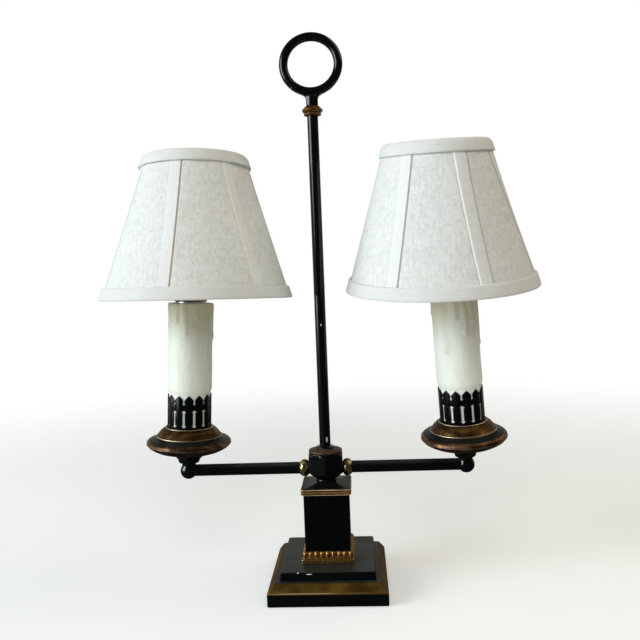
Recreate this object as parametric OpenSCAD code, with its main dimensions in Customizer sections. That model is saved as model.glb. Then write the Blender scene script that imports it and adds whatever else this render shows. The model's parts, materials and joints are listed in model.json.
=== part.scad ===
// Bouillotte table lamp.  A square foot in two tiers carries a square column
// and a hexagonal hub.  A rod with a ring finial rises from the hub, and two
// arms turn in its sides.  Each arm ends in a ball elbow that carries a drip
// pan, a picket gallery, a candle sleeve, a bulb and a clip-on shade.
// Origin at the centre of the foot, +Z up, arms along X, front towards -Y.

/* [Foot] */
// Width of the lower tier
lower_w = 97.4; // [90:0.2:112]
// Height of the lower tier's upright band
band_h = 9.8; // [9.6:0.1:14]
// Height of the gilt bevel above the band
bevel_h = 6.8; // [5:0.1:10]
// How far the bevel draws in on each side
bevel_in = 5; // [2:0.1:7]
// Width of the upper tier at its bottom
upper_w = 78.6; // [60:0.2:84]
// Height of the upper tier
upper_h = 6.7; // [4:0.1:12]
// How far the upper tier draws in on each side
upper_in = 0.7; // [0:0.1:3]
// Size of the small cut on the foot's upright edges
corner_cut = 1.2; // [0.4:0.1:4]
// Wall of the hollow lower tier
tier_wall = 2.6; // [2:0.1:4]
// Thickness of the lower tier's top plate
deck_t = 3; // [2:0.1:5]
// Gap between the lower tier's rim and the table
foot_lift = 0.4; // [0.2:0.1:1]
// Thickness of the felt under the foot
felt_t = 1.6; // [1.2:0.1:1.8]
// Height of the iron weight under the top plate
ballast_h = 6.2; // [5:0.1:6.6]

/* [Cord inlet] */
// Diameter of the hole through the bushing
inlet_d = 5.6; // [4:0.1:6]
// Wall of the bushing's barrel
bushing_wall = 1; // [0.6:0.1:1.2]
// Width of the bushing's flange beyond its barrel
flange_out = 0.5; // [0.3:0.1:0.8]
// Thickness of the bushing's flange
flange_t = 0.8; // [0.5:0.1:1.5]

/* [Column] */
// Width of the column
column_w = 38; // [30:0.2:44]
// Height of the column
column_h = 56.3; // [40:0.5:90]
// Wall of the column
column_wall = 1.8; // [1.2:0.1:3]
// How far the moulding's flat lip stands out from the column
lip_out = 2.8; // [2.6:0.1:5]
// Height of the moulding's lip
lip_h = 3.2; // [2:0.1:6]
// Height of the beads above the lip
bead_h = 6.8; // [4:0.1:10]
// Beads along one side of the column, corners included
bead_count = 9; // [7:2:11]
// How far the beads stand out from the column
bead_out = 2.4; // [2.3:0.1:2.8]

/* [Cap] */
// Width of the column's cap
cap_w = 42.4; // [41:0.2:52]
// Height of the cap's rounded gilt edge
edge_h = 5.3; // [4:0.1:7]
// Rise of the hollow roof above the edge
roof_h = 1.7; // [1:0.1:6]
// Depth of the plug that seats in the column
plug_h = 3; // [2:0.1:8]

/* [Hub] */
// Distance across the hub's flats
hub_flats = 28.6; // [26:0.2:36]
// Height of the hub's black body
hub_h = 22.8; // [20:0.2:34]
// Diameter of the neck under the hub
neck_d = 18.2; // [16:0.2:22]
// Height of the neck
neck_h = 2.4; // [1.5:0.1:6]
// Height of the slope at the hub's lower edge
hub_slope_h = 4.2; // [2:0.1:5]
// Height of the arms above the hub's underside
arm_up = 8.8; // [8:0.1:12]
// Width of the hollow inside the hub
hub_hollow_d = 17; // [14:0.2:20]
// Thickness of the gilt disc on the hub
disc_t = 1.6; // [1:0.1:3]
// Diameter of the gilt disc
disc_d = 28.8; // [24:0.2:34]

/* [Rod and ring] */
// Diameter of the centre rod
rod_d = 9.5; // [9:0.1:12]
// Bore of the centre rod
rod_bore = 6.2; // [5:0.1:7]
// Length of the rod from the gilt disc to the finial's collar
rod_h = 287.6; // [180:0.2:400]
// Diameter of the ring round the rod's foot
foot_ring_d = 16.2; // [14:0.2:22]
// Height of the ring round the rod's foot
foot_ring_h = 3; // [2:0.1:6]
// Largest diameter of the gilt collar under the finial
collar_d = 18.8; // [16:0.2:24]
// Height of the gilt collar
collar_h = 8.2; // [6:0.1:12]
// Outer diameter of the finial's ring
ring_d = 55.3; // [44:0.1:70]
// Thickness of the finial's ring
ring_t = 7.8; // [6:0.1:9]
// Width of the finial's neck
finial_neck_w = 10.4; // [9:0.1:13]
// Length of the finial's neck under the ring
finial_neck_h = 9.05; // [8:0.05:16]

/* [Arms] */
// Distance from the hub's axis to the ball's centre
arm_reach = 119.8; // [100:0.2:160]
// Diameter of the arm tube
arm_d = 10; // [9:0.1:11]
// Bore of the arm tube
arm_bore = 7; // [5:0.1:8]
// Largest diameter of the brass collar at the hub
arm_collar_d = 14.7; // [13:0.1:17]
// Length of the brass collar
arm_collar_l = 8; // [6:0.1:12]
// Diameter of the ball at the arm's end
ball_d = 14.6; // [13:0.1:18]
// Turn of the left arm about its own axis
left_turn = -0.2; // [-8:0.1:8]
// Turn of the right arm about its own axis
right_turn = 4.4; // [-8:0.1:8]
// Lean of each lamp towards the rod
lamp_lean = 2.8; // [0:0.1:5]

/* [Drip pan] */
// Height of the pan's underside above the ball's centre
pan_up = 12.4; // [11:0.1:18]
// Diameter of the pan's rim
pan_d = 72.6; // [66:0.2:84]
// Rise from the pan's underside to its rim
dish_h = 11.8; // [9:0.1:16]
// Diameter of the gilt ridge
ridge_d = 55.4; // [50:0.2:60]
// Rise from the rim to the ridge
cove_h = 6.6; // [4:0.1:10]
// Rise from the ridge to the gallery's seat
dome_h = 8.2; // [6:0.1:12]
// Thickness of the pan's metal
pan_wall = 1.2; // [0.8:0.1:2]

/* [Gallery] */
// Outer diameter of the gallery
gallery_d = 37.6; // [37.4:0.1:44]
// Thickness of the gallery's metal
gallery_wall = 0.8; // [0.6:0.1:1.2]
// Number of pickets round the gallery
picket_count = 13; // [9:1:15]
// Turn of the left gallery's slots about its lamp's axis
left_slots = 18.8; // [0:0.1:40]
// Turn of the right gallery's slots about its lamp's axis
right_slots = 14.1; // [0:0.1:40]
// Height of the solid strip under the slots
strip_h = 1.2; // [0.8:0.1:3]
// Height of the slots between the pickets
slot_h = 15.4; // [10:0.1:24]
// Width of a slot
slot_w = 2.6; // [1.6:0.1:3]
// Height of the rail above the slots
rail_h = 4.2; // [2:0.1:6]
// Height of the pickets' heads above the rail
head_h = 7.8; // [5:0.1:10]

/* [Candle sleeve] */
// Length of the candle sleeve
sleeve_h = 106.4; // [80:0.2:150]
// Wall of the sleeve where the gallery holds it
sleeve_wall = 1.3; // [1:0.1:1.5]
// How far the wax stands out above the gallery
wax_out = 1.2; // [0.4:0.1:2]

/* [Socket and bulb] */
// Diameter of the socket's insulating body
socket_d = 30.6; // [30.2:0.1:30.8]
// Length of the socket's insulating body
socket_h = 46; // [36:0.2:50]
// Diameter of the bulb's screw cap
screw_d = 26; // [25.6:0.1:26.2]
// Length of the bulb's screw cap
screw_h = 24; // [20:0.1:26]
// Diameter of the bulb's plastic collar
bulb_collar_d = 28; // [27:0.1:30]
// Diameter of the bulb's globe
globe_d = 48; // [44:0.2:56]
// Height of the globe's centre above the collar's foot
globe_up = 37.4; // [32:0.2:46]

/* [Shades] */
// Width of the left shade's lower rim
shade_bottom_d = 166.2; // [140:0.2:190]
// Width of the left shade's upper rim
shade_top_d = 91.8; // [80:0.2:110]
// Height of the left shade
shade_h = 122.6; // [100:0.2:140]
// Size of the right shade as a share of the left one
right_share = 0.968; // [0.9:0.002:1.05]
// Height of the upper rim above the globe's centre
shade_up = 87.4; // [80:0.2:110]
// Drop of the cross wire below the upper rim
wire_drop = 22; // [16:0.2:30]
// Height of the folded trims
trim_h = 10; // [6:0.2:16]
// Thickness of the trims
trim_t = 2; // [0.8:0.1:3]
// Thickness of the lined fabric
fabric_t = 0.8; // [0.6:0.1:1.5]
// Diameter of the frame's hoops and cross wire
wire_d = 2; // [1.8:0.1:2.6]
// Diameter of the legs that carry the cross wire
leg_d = 1.5; // [1:0.1:1.6]
// Diameter of the clip's wire
clip_d = 1.6; // [1.2:0.1:2]
// Tip of the left shade towards the front, beyond its lamp's own
left_tip = -0.8; // [-4:0.1:4]
// Tip of the right shade towards the front, beyond its lamp's own
right_tip = 3.4; // [-4:0.1:4]
// How much straighter each shade stands than its lamp
shade_upright = 1.8; // [0:0.1:4]
// How far the left shade sits along its cross wire, towards the rod
left_shift = 4.8; // [0:0.1:9]
// How far the right shade sits along its cross wire, towards the rod
right_shift = 7.9; // [0:0.1:9]

/* [Fits] */
// Radial clearance of a turning thread or shaft
run_fit = 0.05; // [0.02:0.01:0.1]
// Radial clearance of fixed pieces that pass through a hole
hole_fit = 0.1; // [0.05:0.01:0.3]
// Gap between loose pieces that slide past each other
slide_gap = 0.3; // [0.2:0.05:0.5]
// Gap between pieces that rest on each other but move apart
rest_gap = 0.05; // [0.02:0.01:0.1]

/* [Hidden] */
$fn = 96;

left = -1;
right = 1;

black = [0.06, 0.06, 0.065];
gilt = [0.55, 0.4, 0.17];
bronze = [0.42, 0.28, 0.16];
brass = [0.75, 0.62, 0.3];
steel = [0.6, 0.6, 0.62];
iron = [0.3, 0.3, 0.31];
wax = [0.92, 0.91, 0.8];
linen = [0.88, 0.87, 0.83];
white = [0.95, 0.95, 0.93];
felt = [0.16, 0.2, 0.17];
phenolic = [0.85, 0.83, 0.76];

// Heights up the middle of the lamp
band_top = foot_lift + band_h;
lower_top = band_top + bevel_h;
upper_top = lower_top + upper_h;
column_top = upper_top + column_h;
edge_top = column_top + edge_h;
roof_top = edge_top + roof_h;
hub_bottom = roof_top + neck_h + rest_gap;
hub_top = hub_bottom + hub_h;
disc_top = hub_top + disc_t;
rod_top = disc_top + rod_h;
collar_top = rod_top + collar_h;
ring_z = collar_top + finial_neck_h + ring_d / 2;
arm_z = hub_bottom + arm_up;

// Foot
pipe_d = 9.6;
hollow_w = lower_w - 2 * tier_wall;
deck_z = lower_top - deck_t;
ballast_z = deck_z - ballast_h;
felt_fit = 0.4;
ballast_fit = 1;
washer_d = 22;
washer_t = 0.9;
nut_flats = 14;
nut_h = 2.1;
pipe_end = ballast_z - washer_t - nut_h - 0.1;
channel_w = inlet_d + 2 * bushing_wall + 2;
channel_top = band_top - 0.3;
inlet_z = (foot_lift + band_top) / 2;
bushing_d = inlet_d + 2 * bushing_wall;

// Column, moulding and cap
column_fit = 0.15;
bead_r = bead_out * 0.98;
bead_line = column_w / 2 + bead_out - bead_r;
bead_pitch = 2 * bead_line / (bead_count - 1);
bead_cap_h = 1.3;
bead_cap_in = 0.8;
edge_r = edge_h / 2;
roof_in = 2.2;
roof_steps = 8;

// Hub
hub_corner_r = hub_flats / sqrt(3);
hub_flat_r = hub_flats / 2;
hub_floor_t = 4.2;
hub_lid_t = 3;
nose_r = hub_flat_r + 0.25;
nose_drop = 4;
pipe_grip = hub_floor_t - 0.2;
rod_grip = hub_lid_t + disc_t + 0.6;
stud_l = 14;

// Ring finial
ring_r = (ring_d - ring_t) / 2;
web_t = ring_t * 0.82;
web_angle = 40;
web_knee = [0.3 * ring_r, finial_neck_h * 1.16];
neck_fillet = 4.4;

// Arms and elbows
arm_start = hub_flat_r - 3;
arm_end = arm_reach - ball_d / 2 + 3;
ball_r = ball_d / 2;
elbow_neck_r = 5.9;
elbow_top_r = 9;
wire_hole_d = 6;

// Drip pan and what stands on it, measured up from the ball's centre
rim_z = pan_up + dish_h;
ridge_z = rim_z + cove_h;
seat_z = ridge_z + dome_h;
lip_t = 0.9;
cove_in = 2.8;
core_r = ridge_d / 2 - pan_wall - 0.4;
dome_top_r = gallery_d / 2 + 0.9;
gallery_h = strip_h + slot_h + rail_h + head_h;
gallery_r = gallery_d / 2;
flange_w = 4;
picket_step = 360 / picket_count;
tip_w = 1.9;
tip_h = 2.4;
nipple_end = seat_z + 9;

// Candle sleeve
sleeve_z = seat_z + gallery_wall + rest_gap;
sleeve_top = sleeve_z + sleeve_h;
sleeve_r = gallery_r - gallery_wall - slide_gap;
sleeve_bore = sleeve_r - sleeve_wall;
wax_r = sleeve_r + wax_out;
wax_z = seat_z + gallery_h + 0.6;
wax_round = 1.6;
// Wax runs down the sleeve: angle, start and length as shares of the free length, and radius
wax_runs = [[-62, 1, 0.42, 1.5], [-20, 1, 0.24, 1.3], [18, 0.98, 0.55, 1.2], [75, 1, 0.3, 1.6],
            [140, 1, 0.5, 1.4], [205, 1, 0.36, 1.7], [262, 0.97, 0.62, 1.3]];

// Socket and bulb
bulb_foot = sleeve_top + 1.2;
socket_top = sleeve_top - 3.6;
socket_z = socket_top - socket_h;
shell_t = 0.6;
shell_r = screw_d / 2 + slide_gap + shell_t;
shell_h = screw_h + 3;
bracket_w = 8;
bracket_t = 1.2;
bracket_eye_r = 8;
bracket_out = sleeve_bore - slide_gap;
bracket_z = seat_z + 2.4;
bracket_nut_h = 2.4;
globe_z = bulb_foot + globe_up;
globe_r = globe_d / 2;
waist_r = globe_r * 0.72;
waist_down = sqrt(globe_r * globe_r - waist_r * waist_r);
contact_r = 4.5;
contact_h = 2.2;

// Clip and shade, measured from the globe's centre
clip_r = globe_r + slide_gap + clip_d / 2;
leg_h = 5;
bar_z = shade_up - wire_drop;
eye_l = 9;
eye_wall = 1.2;
hoop_in = 0.35;
hoop_up = wire_d / 2 + 0.3;

function turn(side) = side < 0 ? left_turn : right_turn;
function tip(side) = side < 0 ? left_tip : right_tip;
function share(side) = side < 0 ? 1 : right_share;
function shift(side) = side < 0 ? left_shift : right_shift;
function slots_at(side) = side < 0 ? left_slots : right_slots;
function arc(cx, cy, r, a0, a1, n = 10) =
    [for (i = [0 : n]) let (a = a0 + (a1 - a0) * i / n) [cx + r * cos(a), cy + r * sin(a)]];
function mirrored(half) =
    concat(half, [for (i = [len(half) - 1 : -1 : 0]) [-half[i][0], half[i][1]]]);
// Outer radius of the bare fabric cone at a height above its lower rim
function cone_r(side, z) =
    let (h = shade_h * share(side), r0 = shade_bottom_d / 2 * share(side) - trim_t,
         r1 = shade_top_d / 2 * share(side) - trim_t)
    r0 + (r1 - r0) * z / h;

function hoop_r(side, z) = cone_r(side, z) - fabric_t - wire_d / 2 - hoop_in;

// ---- Helpers

// A square block with a small cut on each upright edge
module cut_square(w, cut) {
    c = w / 2 - cut;
    polygon([[w / 2, -c], [w / 2, c], [c, w / 2], [-c, w / 2], [-w / 2, c], [-w / 2, -c], [-c, -w / 2],
             [c, -w / 2]]);
}

// A mitred square moulding from one outline of width and height
module mitred(outline, w) {
    intersection() {
        rotate([90, 0, 0]) linear_extrude(w, center = true) polygon(outline);
        rotate([90, 0, 90]) linear_extrude(w, center = true) polygon(outline);
    }
}

module tube(r, bore, h) {
    difference() {
        cylinder(r = r, h = h);
        translate([0, 0, -1]) cylinder(r = bore, h = h + 2);
    }
}

module hex_nut(flats, bore, h) {
    difference() {
        cylinder(r = flats / sqrt(3), h = h, $fn = 6);
        translate([0, 0, -1]) cylinder(r = bore, h = h + 2);
    }
}

// A straight wire from one point to another
module wire(from, to, d) {
    v = to - from;
    translate(from)
        rotate([0, acos(v[2] / norm(v)), atan2(v[1], v[0])])
        cylinder(d = d, h = norm(v), $fn = 32);
}

// Places a piece along an arm, whose own axis runs outwards along +Z
module along_arm(side) {
    translate([0, 0, arm_z]) rotate([0, 90 * side, 0]) children();
}

// Places a piece at the ball, turned with its arm
module at_ball(side) {
    translate([side * arm_reach, 0, arm_z]) rotate([turn(side), 0, 0]) children();
}

// Places a piece on the lamp's own axis, measured from the ball's centre
module at_lamp(side) {
    at_ball(side) rotate([0, -side * lamp_lean, 0]) children();
}

// Places a piece in the clip's frame, measured from the globe's centre
module at_clip(side) {
    at_lamp(side) translate([0, 0, globe_z]) rotate([tip(side), side * shade_upright, 0]) children();
}

// Places a piece in the shade's frame, measured from the middle of its lower rim
module at_shade(side) {
    at_clip(side) translate([-side * shift(side), 0, shade_up - shade_h * share(side)]) children();
}

// ---- Foot

module felt_pad() {
    color(felt) linear_extrude(felt_t) cut_square(hollow_w - 2 * felt_fit, corner_cut);
}

module lower_tier() {
    w = lower_w / 2;
    color(black) difference() {
        intersection() {
            mitred(mirrored([[w, foot_lift], [w, band_top], [w - bevel_in, lower_top]]), lower_w);
            linear_extrude(lower_top) cut_square(lower_w, corner_cut);
        }
        translate([0, 0, -1]) linear_extrude(deck_z + 1) cut_square(hollow_w, corner_cut);
        cylinder(d = pipe_d + 2 * hole_fit, h = lower_top + 1);
        translate([0, w - tier_wall - 1, inlet_z])
            rotate([-90, 0, 0]) cylinder(d = bushing_d + 2 * hole_fit, h = tier_wall + 2);
    }
}

module upper_tier() {
    w = upper_w / 2;
    color(black) difference() {
        intersection() {
            mitred(mirrored([[w, lower_top], [w - upper_in, upper_top]]), upper_w);
            linear_extrude(upper_top) cut_square(upper_w, corner_cut);
        }
        cylinder(d = pipe_d + 2 * hole_fit, h = upper_top + 1);
    }
}

module ballast_weight() {
    w = hollow_w - 2 * ballast_fit;
    color(iron) difference() {
        translate([0, 0, ballast_z]) linear_extrude(ballast_h) cut_square(w, corner_cut);
        cylinder(d = pipe_d + 2 * hole_fit, h = lower_top);
        translate([-channel_w / 2, pipe_d / 2 + 2, ballast_z - 1])
            cube([channel_w, w / 2, channel_top - ballast_z + 1]);
    }
}

module base_washer() {
    color(steel) translate([0, 0, ballast_z - washer_t])
        tube(washer_d / 2, pipe_d / 2 + hole_fit, washer_t);
}

module base_nut() {
    color(brass) translate([0, 0, ballast_z - washer_t - nut_h])
        hex_nut(nut_flats, pipe_d / 2 + hole_fit, nut_h);
}

module cord_bushing() {
    back = lower_w / 2;
    color(brass) translate([0, 0, inlet_z]) rotate([-90, 0, 0]) difference() {
        union() {
            translate([0, 0, back - tier_wall]) cylinder(d = bushing_d, h = tier_wall);
            translate([0, 0, back]) cylinder(d = bushing_d + 2 * flange_out, h = flange_t);
        }
        translate([0, 0, back - tier_wall - 1]) cylinder(d = inlet_d, h = tier_wall + flange_t + 2);
    }
}

// ---- Column and cap

// Outline of the beads: a square with a round bead at each step along every side
module bead_outline(r) {
    half = bead_line;
    square(2 * half, center = true);
    for (i = [0 : bead_count - 1], s = [-1, 1]) {
        at = -half + i * bead_pitch;
        translate([at, s * half]) circle(r = r, $fn = 32);
        translate([s * half, at]) circle(r = r, $fn = 32);
    }
}

module bead_moulding() {
    hole_w = column_w + 2 * column_fit;
    lip_w = column_w + 2 * lip_out;
    beads_h = bead_h - bead_cap_h;
    color(gilt) difference() {
        translate([0, 0, upper_top]) union() {
            translate([-lip_w / 2, -lip_w / 2, 0]) cube([lip_w, lip_w, lip_h]);
            translate([0, 0, lip_h]) linear_extrude(beads_h) bead_outline(bead_r);
            translate([0, 0, lip_h + beads_h]) linear_extrude(bead_cap_h) bead_outline(bead_r - bead_cap_in);
        }
        translate([-hole_w / 2, -hole_w / 2, upper_top - 1]) cube([hole_w, hole_w, lip_h + bead_h + 2]);
    }
}

module column() {
    inner = column_w - 2 * column_wall;
    color(black) difference() {
        translate([-column_w / 2, -column_w / 2, upper_top]) cube([column_w, column_w, column_h]);
        translate([-inner / 2, -inner / 2, upper_top - 1]) cube([inner, inner, column_h + 2]);
    }
}

// Right half of the cap's outline: rounded edge, step and hollow roof
function cap_half() =
    let (w = cap_w / 2, in_r = neck_d / 2, start = w - roof_in,
         edge = arc(w - edge_r, column_top + edge_r, edge_r, -90, 65, 8),
         roof = [for (i = [0 : roof_steps]) let (t = i / roof_steps)
                 [start + (in_r - start) * t, edge_top + roof_h * t * t]])
    concat(edge, roof);

module column_cap() {
    plug_w = column_w - 2 * column_wall - 2 * column_fit;
    color(black) difference() {
        union() {
            mitred(mirrored(cap_half()), cap_w);
            translate([-plug_w / 2, -plug_w / 2, column_top - plug_h]) cube([plug_w, plug_w, plug_h + edge_h / 2]);
        }
        translate([0, 0, column_top - plug_h - 1])
            cylinder(d = pipe_d + 2 * hole_fit, h = plug_h + edge_h + roof_h + 2);
    }
}

module neck_ring() {
    r = neck_d / 2;
    color(black) rotate_extrude() polygon(concat(
        [[pipe_d / 2 + hole_fit, roof_top]],
        arc(r - neck_h / 2, roof_top + neck_h / 2, neck_h / 2, -90, 90),
        [[pipe_d / 2 + hole_fit, roof_top + neck_h]]));
}

module centre_pipe() {
    color(brass) translate([0, 0, pipe_end])
        tube(pipe_d / 2, rod_bore / 2, hub_bottom + pipe_grip - pipe_end);
}

// ---- Hub and rod

module hub_body() {
    r0 = neck_d / 2;
    slope = (hub_flat_r - r0) / hub_slope_h;
    corner_rise = (hub_corner_r - r0) / slope;
    color(black) difference() {
        intersection() {
            translate([0, 0, hub_bottom]) rotate([0, 0, 30]) cylinder(r = hub_corner_r, h = hub_h, $fn = 6);
            rotate_extrude() polygon([
                [0, hub_bottom], [r0, hub_bottom], [hub_corner_r, hub_bottom + corner_rise],
                [hub_corner_r, hub_top - nose_drop], [nose_r, hub_top - 0.8], [nose_r - 0.8, hub_top],
                [0, hub_top]]);
        }
        translate([0, 0, hub_bottom + hub_floor_t])
            cylinder(d = hub_hollow_d, h = hub_h - hub_floor_t - hub_lid_t);
        translate([0, 0, hub_bottom - 1]) cylinder(r = pipe_d / 2 + run_fit, h = hub_floor_t + 2);
        translate([0, 0, hub_top - hub_lid_t - 1]) cylinder(r = rod_d / 2 + hole_fit, h = hub_lid_t + 2);
        for (side = [left, right])
            along_arm(side) cylinder(r = arm_d / 2 + run_fit, h = hub_flats);
    }
}

module hub_disc() {
    r = disc_d / 2;
    edge = disc_t / 2;
    color(bronze) rotate_extrude() polygon(concat(
        [[rod_d / 2 + hole_fit, hub_top]],
        arc(r - edge, hub_top + edge, edge, -90, 90),
        [[rod_d / 2 + hole_fit, disc_top]]));
}

module rod_foot_ring() {
    edge = foot_ring_h / 2;
    color(black) rotate_extrude() polygon(concat(
        [[rod_d / 2 + hole_fit, disc_top]],
        arc(foot_ring_d / 2 - edge, disc_top + edge, edge, -90, 90),
        [[rod_d / 2 + hole_fit, disc_top + foot_ring_h]]));
}

module centre_rod() {
    color(black) translate([0, 0, disc_top - rod_grip]) tube(rod_d / 2, rod_bore / 2, rod_h + rod_grip);
}

module finial_collar() {
    r = collar_d / 2;
    foot_r = rod_d / 2 + 0.6;
    color(gilt) rotate_extrude() polygon(concat(
        [[rod_bore / 2 + hole_fit, rod_top], [foot_r, rod_top], [r * 0.8, rod_top + 0.1 * collar_h]],
        arc(r - 0.22 * collar_h, rod_top + 0.58 * collar_h, 0.22 * collar_h, -55, 70, 6),
        [[finial_neck_w / 2 + 0.9, collar_top], [rod_bore / 2 + hole_fit, collar_top]]));
}

// Half of the flat web between the finial's neck and its ring, from the collar up
function web_half() =
    let (n = finial_neck_w / 2, knee = [web_knee[0], collar_top + web_knee[1]],
         ring_at = [ring_r * sin(web_angle), ring_z - ring_r * cos(web_angle)],
         out_at = [ring_d / 2 * sin(web_angle), ring_z - ring_d / 2 * cos(web_angle)])
    concat([[0, collar_top + rest_gap], [n, collar_top + rest_gap]],
           arc(n + neck_fillet, knee[1] - neck_fillet, neck_fillet, 180, 125, 6),
           [out_at, ring_at]);

module ring_finial() {
    n = finial_neck_w / 2;
    color(black) union() {
        translate([0, 0, ring_z]) rotate([90, 0, 0]) rotate_extrude() translate([ring_r, 0]) circle(d = ring_t);
        difference() {
            rotate([90, 0, 0]) linear_extrude(web_t, center = true)
                polygon(concat(web_half(), [[0, ring_z - ring_r]],
                    [for (i = [len(web_half()) - 1 : -1 : 1]) [-web_half()[i][0], web_half()[i][1]]]));
            translate([0, 0, ring_z]) rotate([90, 0, 0]) cylinder(r = ring_r, h = ring_t, center = true);
        }
        translate([0, 0, collar_top + rest_gap]) cylinder(r = n, h = finial_neck_h);
        translate([0, 0, collar_top - stud_l]) cylinder(r = rod_bore / 2 - run_fit, h = stud_l + finial_neck_h);
    }
}

// ---- Arms

module arm_collar(side) {
    r = arm_collar_d / 2;
    bead = arm_collar_l * 0.62;
    small = r - 1.1;
    bore_r = arm_d / 2 + run_fit;
    z0 = hub_flat_r;
    z1 = z0 + arm_collar_l;
    color(brass) along_arm(side) rotate_extrude() polygon(concat(
        [[bore_r, z0], [small, z0]],
        arc(small - 0.4, z0 + (arm_collar_l - bead) / 2, (arm_collar_l - bead) / 2, -60, 60, 6),
        arc(r - bead / 2, z1 - bead / 2, bead / 2, -75, 80, 10),
        [[bore_r, z1]]));
}

module arm_tube(side) {
    color(black) along_arm(side) translate([0, 0, arm_start])
        tube(arm_d / 2, arm_bore / 2, arm_end - arm_start);
}

// Turned neck between the ball and the pan, with a hole for the nipple
module elbow_neck() {
    rotate_extrude() polygon(concat(
        [[0, 0], [elbow_neck_r, 0], [elbow_neck_r, ball_r * 0.8]],
        arc(elbow_top_r, ball_r * 0.8 + 0.8, elbow_top_r - elbow_neck_r, 180, 100, 8),
        [[elbow_top_r, pan_up], [0, pan_up]]));
}

module ball_elbow(side) {
    color(black) difference() {
        union() {
            at_ball(side) rotate([90, 90 - side * 45, 0]) sphere(r = ball_r);
            at_lamp(side) elbow_neck();
        }
        along_arm(side) cylinder(r = arm_d / 2 + hole_fit, h = arm_end);
        along_arm(side) cylinder(d = wire_hole_d, h = arm_reach + wire_hole_d / 3);
        at_lamp(side) cylinder(d = wire_hole_d * 0.8, h = pan_up + 1);
        at_lamp(side) translate([0, 0, ball_r]) cylinder(r = pipe_d / 2 + hole_fit, h = pan_up);
    }
}

module pan_nipple(side) {
    color(brass) at_lamp(side) translate([0, 0, ball_r + 0.1])
        tube(pipe_d / 2, wire_hole_d / 2, nipple_end - ball_r - 0.1);
}

// Height of the dish's round underside at a radius
function dish_z(r) =
    let (t = (r - elbow_top_r) / (pan_d / 2 - elbow_top_r)) pan_up + dish_h * (0.34 * t + 0.66 * t * t * t);

module drip_dish(side) {
    rim_r = pan_d / 2;
    ridge_r = ridge_d / 2;
    cove_r = rim_r - cove_in;
    bore_r = pipe_d / 2 + hole_fit;
    under = [for (i = [0 : 10]) let (r = elbow_top_r + (rim_r - elbow_top_r) * i / 10) [r, dish_z(r)]];
    cove = [for (i = [0 : 8]) let (a = 90 * i / 8)
            [ridge_r + (cove_r - ridge_r) * (1 - sin(a)), rim_z + cove_h * (1 - cos(a))]];
    color(bronze) at_lamp(side) rotate_extrude() polygon(concat(
        [[bore_r, pan_up]], under,
        [[rim_r, rim_z + lip_t], [cove_r, rim_z + lip_t]],
        [for (p = cove) if (p[1] > rim_z + lip_t) p],
        [[core_r, ridge_z], [core_r, dish_z(core_r) + pan_wall], [elbow_top_r, pan_up + pan_wall],
         [bore_r, pan_up + pan_wall]]));
}

module pan_dome(side) {
    r0 = ridge_d / 2;
    bore_r = pipe_d / 2 + hole_fit;
    bulge = function (base, rise) [for (i = [0 : 8]) let (a = 90 * i / 8)
        [dome_top_r + (base - dome_top_r) * cos(a), ridge_z + 1 + (rise - 1) * sin(a)]];
    outer = concat([[r0, ridge_z], [r0 + 0.3, ridge_z + 0.5]], bulge(r0, dome_h));
    inner = [for (p = outer) [p[0] - pan_wall, p[1] - pan_wall]];
    color(gilt) at_lamp(side) rotate_extrude() polygon(concat(
        outer, [[bore_r, seat_z], [bore_r, seat_z - pan_wall]],
        [for (i = [len(inner) - 1 : -1 : 2]) [inner[i][0], inner[i][1]]],
        [[r0 - pan_wall, ridge_z]]));
}

// ---- Gallery

// A slot with a pointed head at each end
module slot_shape() {
    w = slot_w / 2;
    polygon([[0, 0], [w + tip_w / 2, tip_h], [w, tip_h], [w, slot_h - tip_h], [w + tip_w / 2, slot_h - tip_h],
             [0, slot_h], [-w - tip_w / 2, slot_h - tip_h], [-w, slot_h - tip_h], [-w, tip_h],
             [-w - tip_w / 2, tip_h]]);
}

// The gap between two picket heads: round at its foot, then opening to the tips
module notch_shape(pitch) {
    w = slot_w / 2;
    translate([0, w]) circle(r = w, $fn = 32);
    throat = w * 0.62;
    open = pitch / 2 - 0.3;
    polygon([[throat, w / 2], [throat, head_h * 0.48], [open, head_h + 0.4], [-open, head_h + 0.4],
             [-throat, head_h * 0.48], [-throat, w / 2]]);
}

module gallery(side) {
    r = gallery_r;
    pitch = 2 * r * sin(picket_step / 2);
    color(black) at_lamp(side) translate([0, 0, seat_z]) rotate([0, 0, slots_at(side)]) difference() {
        rotate([0, 0, picket_step / 2]) difference() {
            cylinder(r = r, h = gallery_h);
            translate([0, 0, gallery_wall]) cylinder(r = r - gallery_wall, h = gallery_h);
            translate([0, 0, -1]) cylinder(r = r - flange_w, h = gallery_wall + 2);
        }
        for (i = [0 : picket_count - 1]) rotate([0, 0, i * picket_step]) {
            translate([r / 2, 0, strip_h]) rotate([90, 0, 90]) linear_extrude(r) slot_shape();
            translate([r / 2, 0, strip_h + slot_h + rail_h])
                rotate([90, 0, 90]) linear_extrude(r) notch_shape(pitch);
        }
    }
}

// ---- Candle sleeve, socket and bulb

module candle_sleeve(side) {
    free = sleeve_top - wax_z;
    color(wax) at_lamp(side) difference() {
        union() {
            rotate_extrude() polygon(concat(
                [[0, sleeve_z], [sleeve_r, sleeve_z], [sleeve_r, wax_z], [wax_r, wax_z + wax_out]],
                arc(wax_r - wax_round, sleeve_top - wax_round, wax_round, 0, 90, 5), [[0, sleeve_top]]));
            for (run = wax_runs) rotate([0, 0, run[0]]) {
                top = wax_z + free * run[1] - wax_round * 1.6;
                foot = top - free * run[2];
                translate([wax_r - run[3] * 0.55, 0, foot]) {
                    cylinder(r = run[3] * 0.9, h = top - foot, $fn = 24);
                    sphere(r = run[3], $fn = 32);
                }
            }
        }
        translate([0, 0, sleeve_z - 1]) cylinder(r = sleeve_bore, h = sleeve_h + 2);
    }
}

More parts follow.
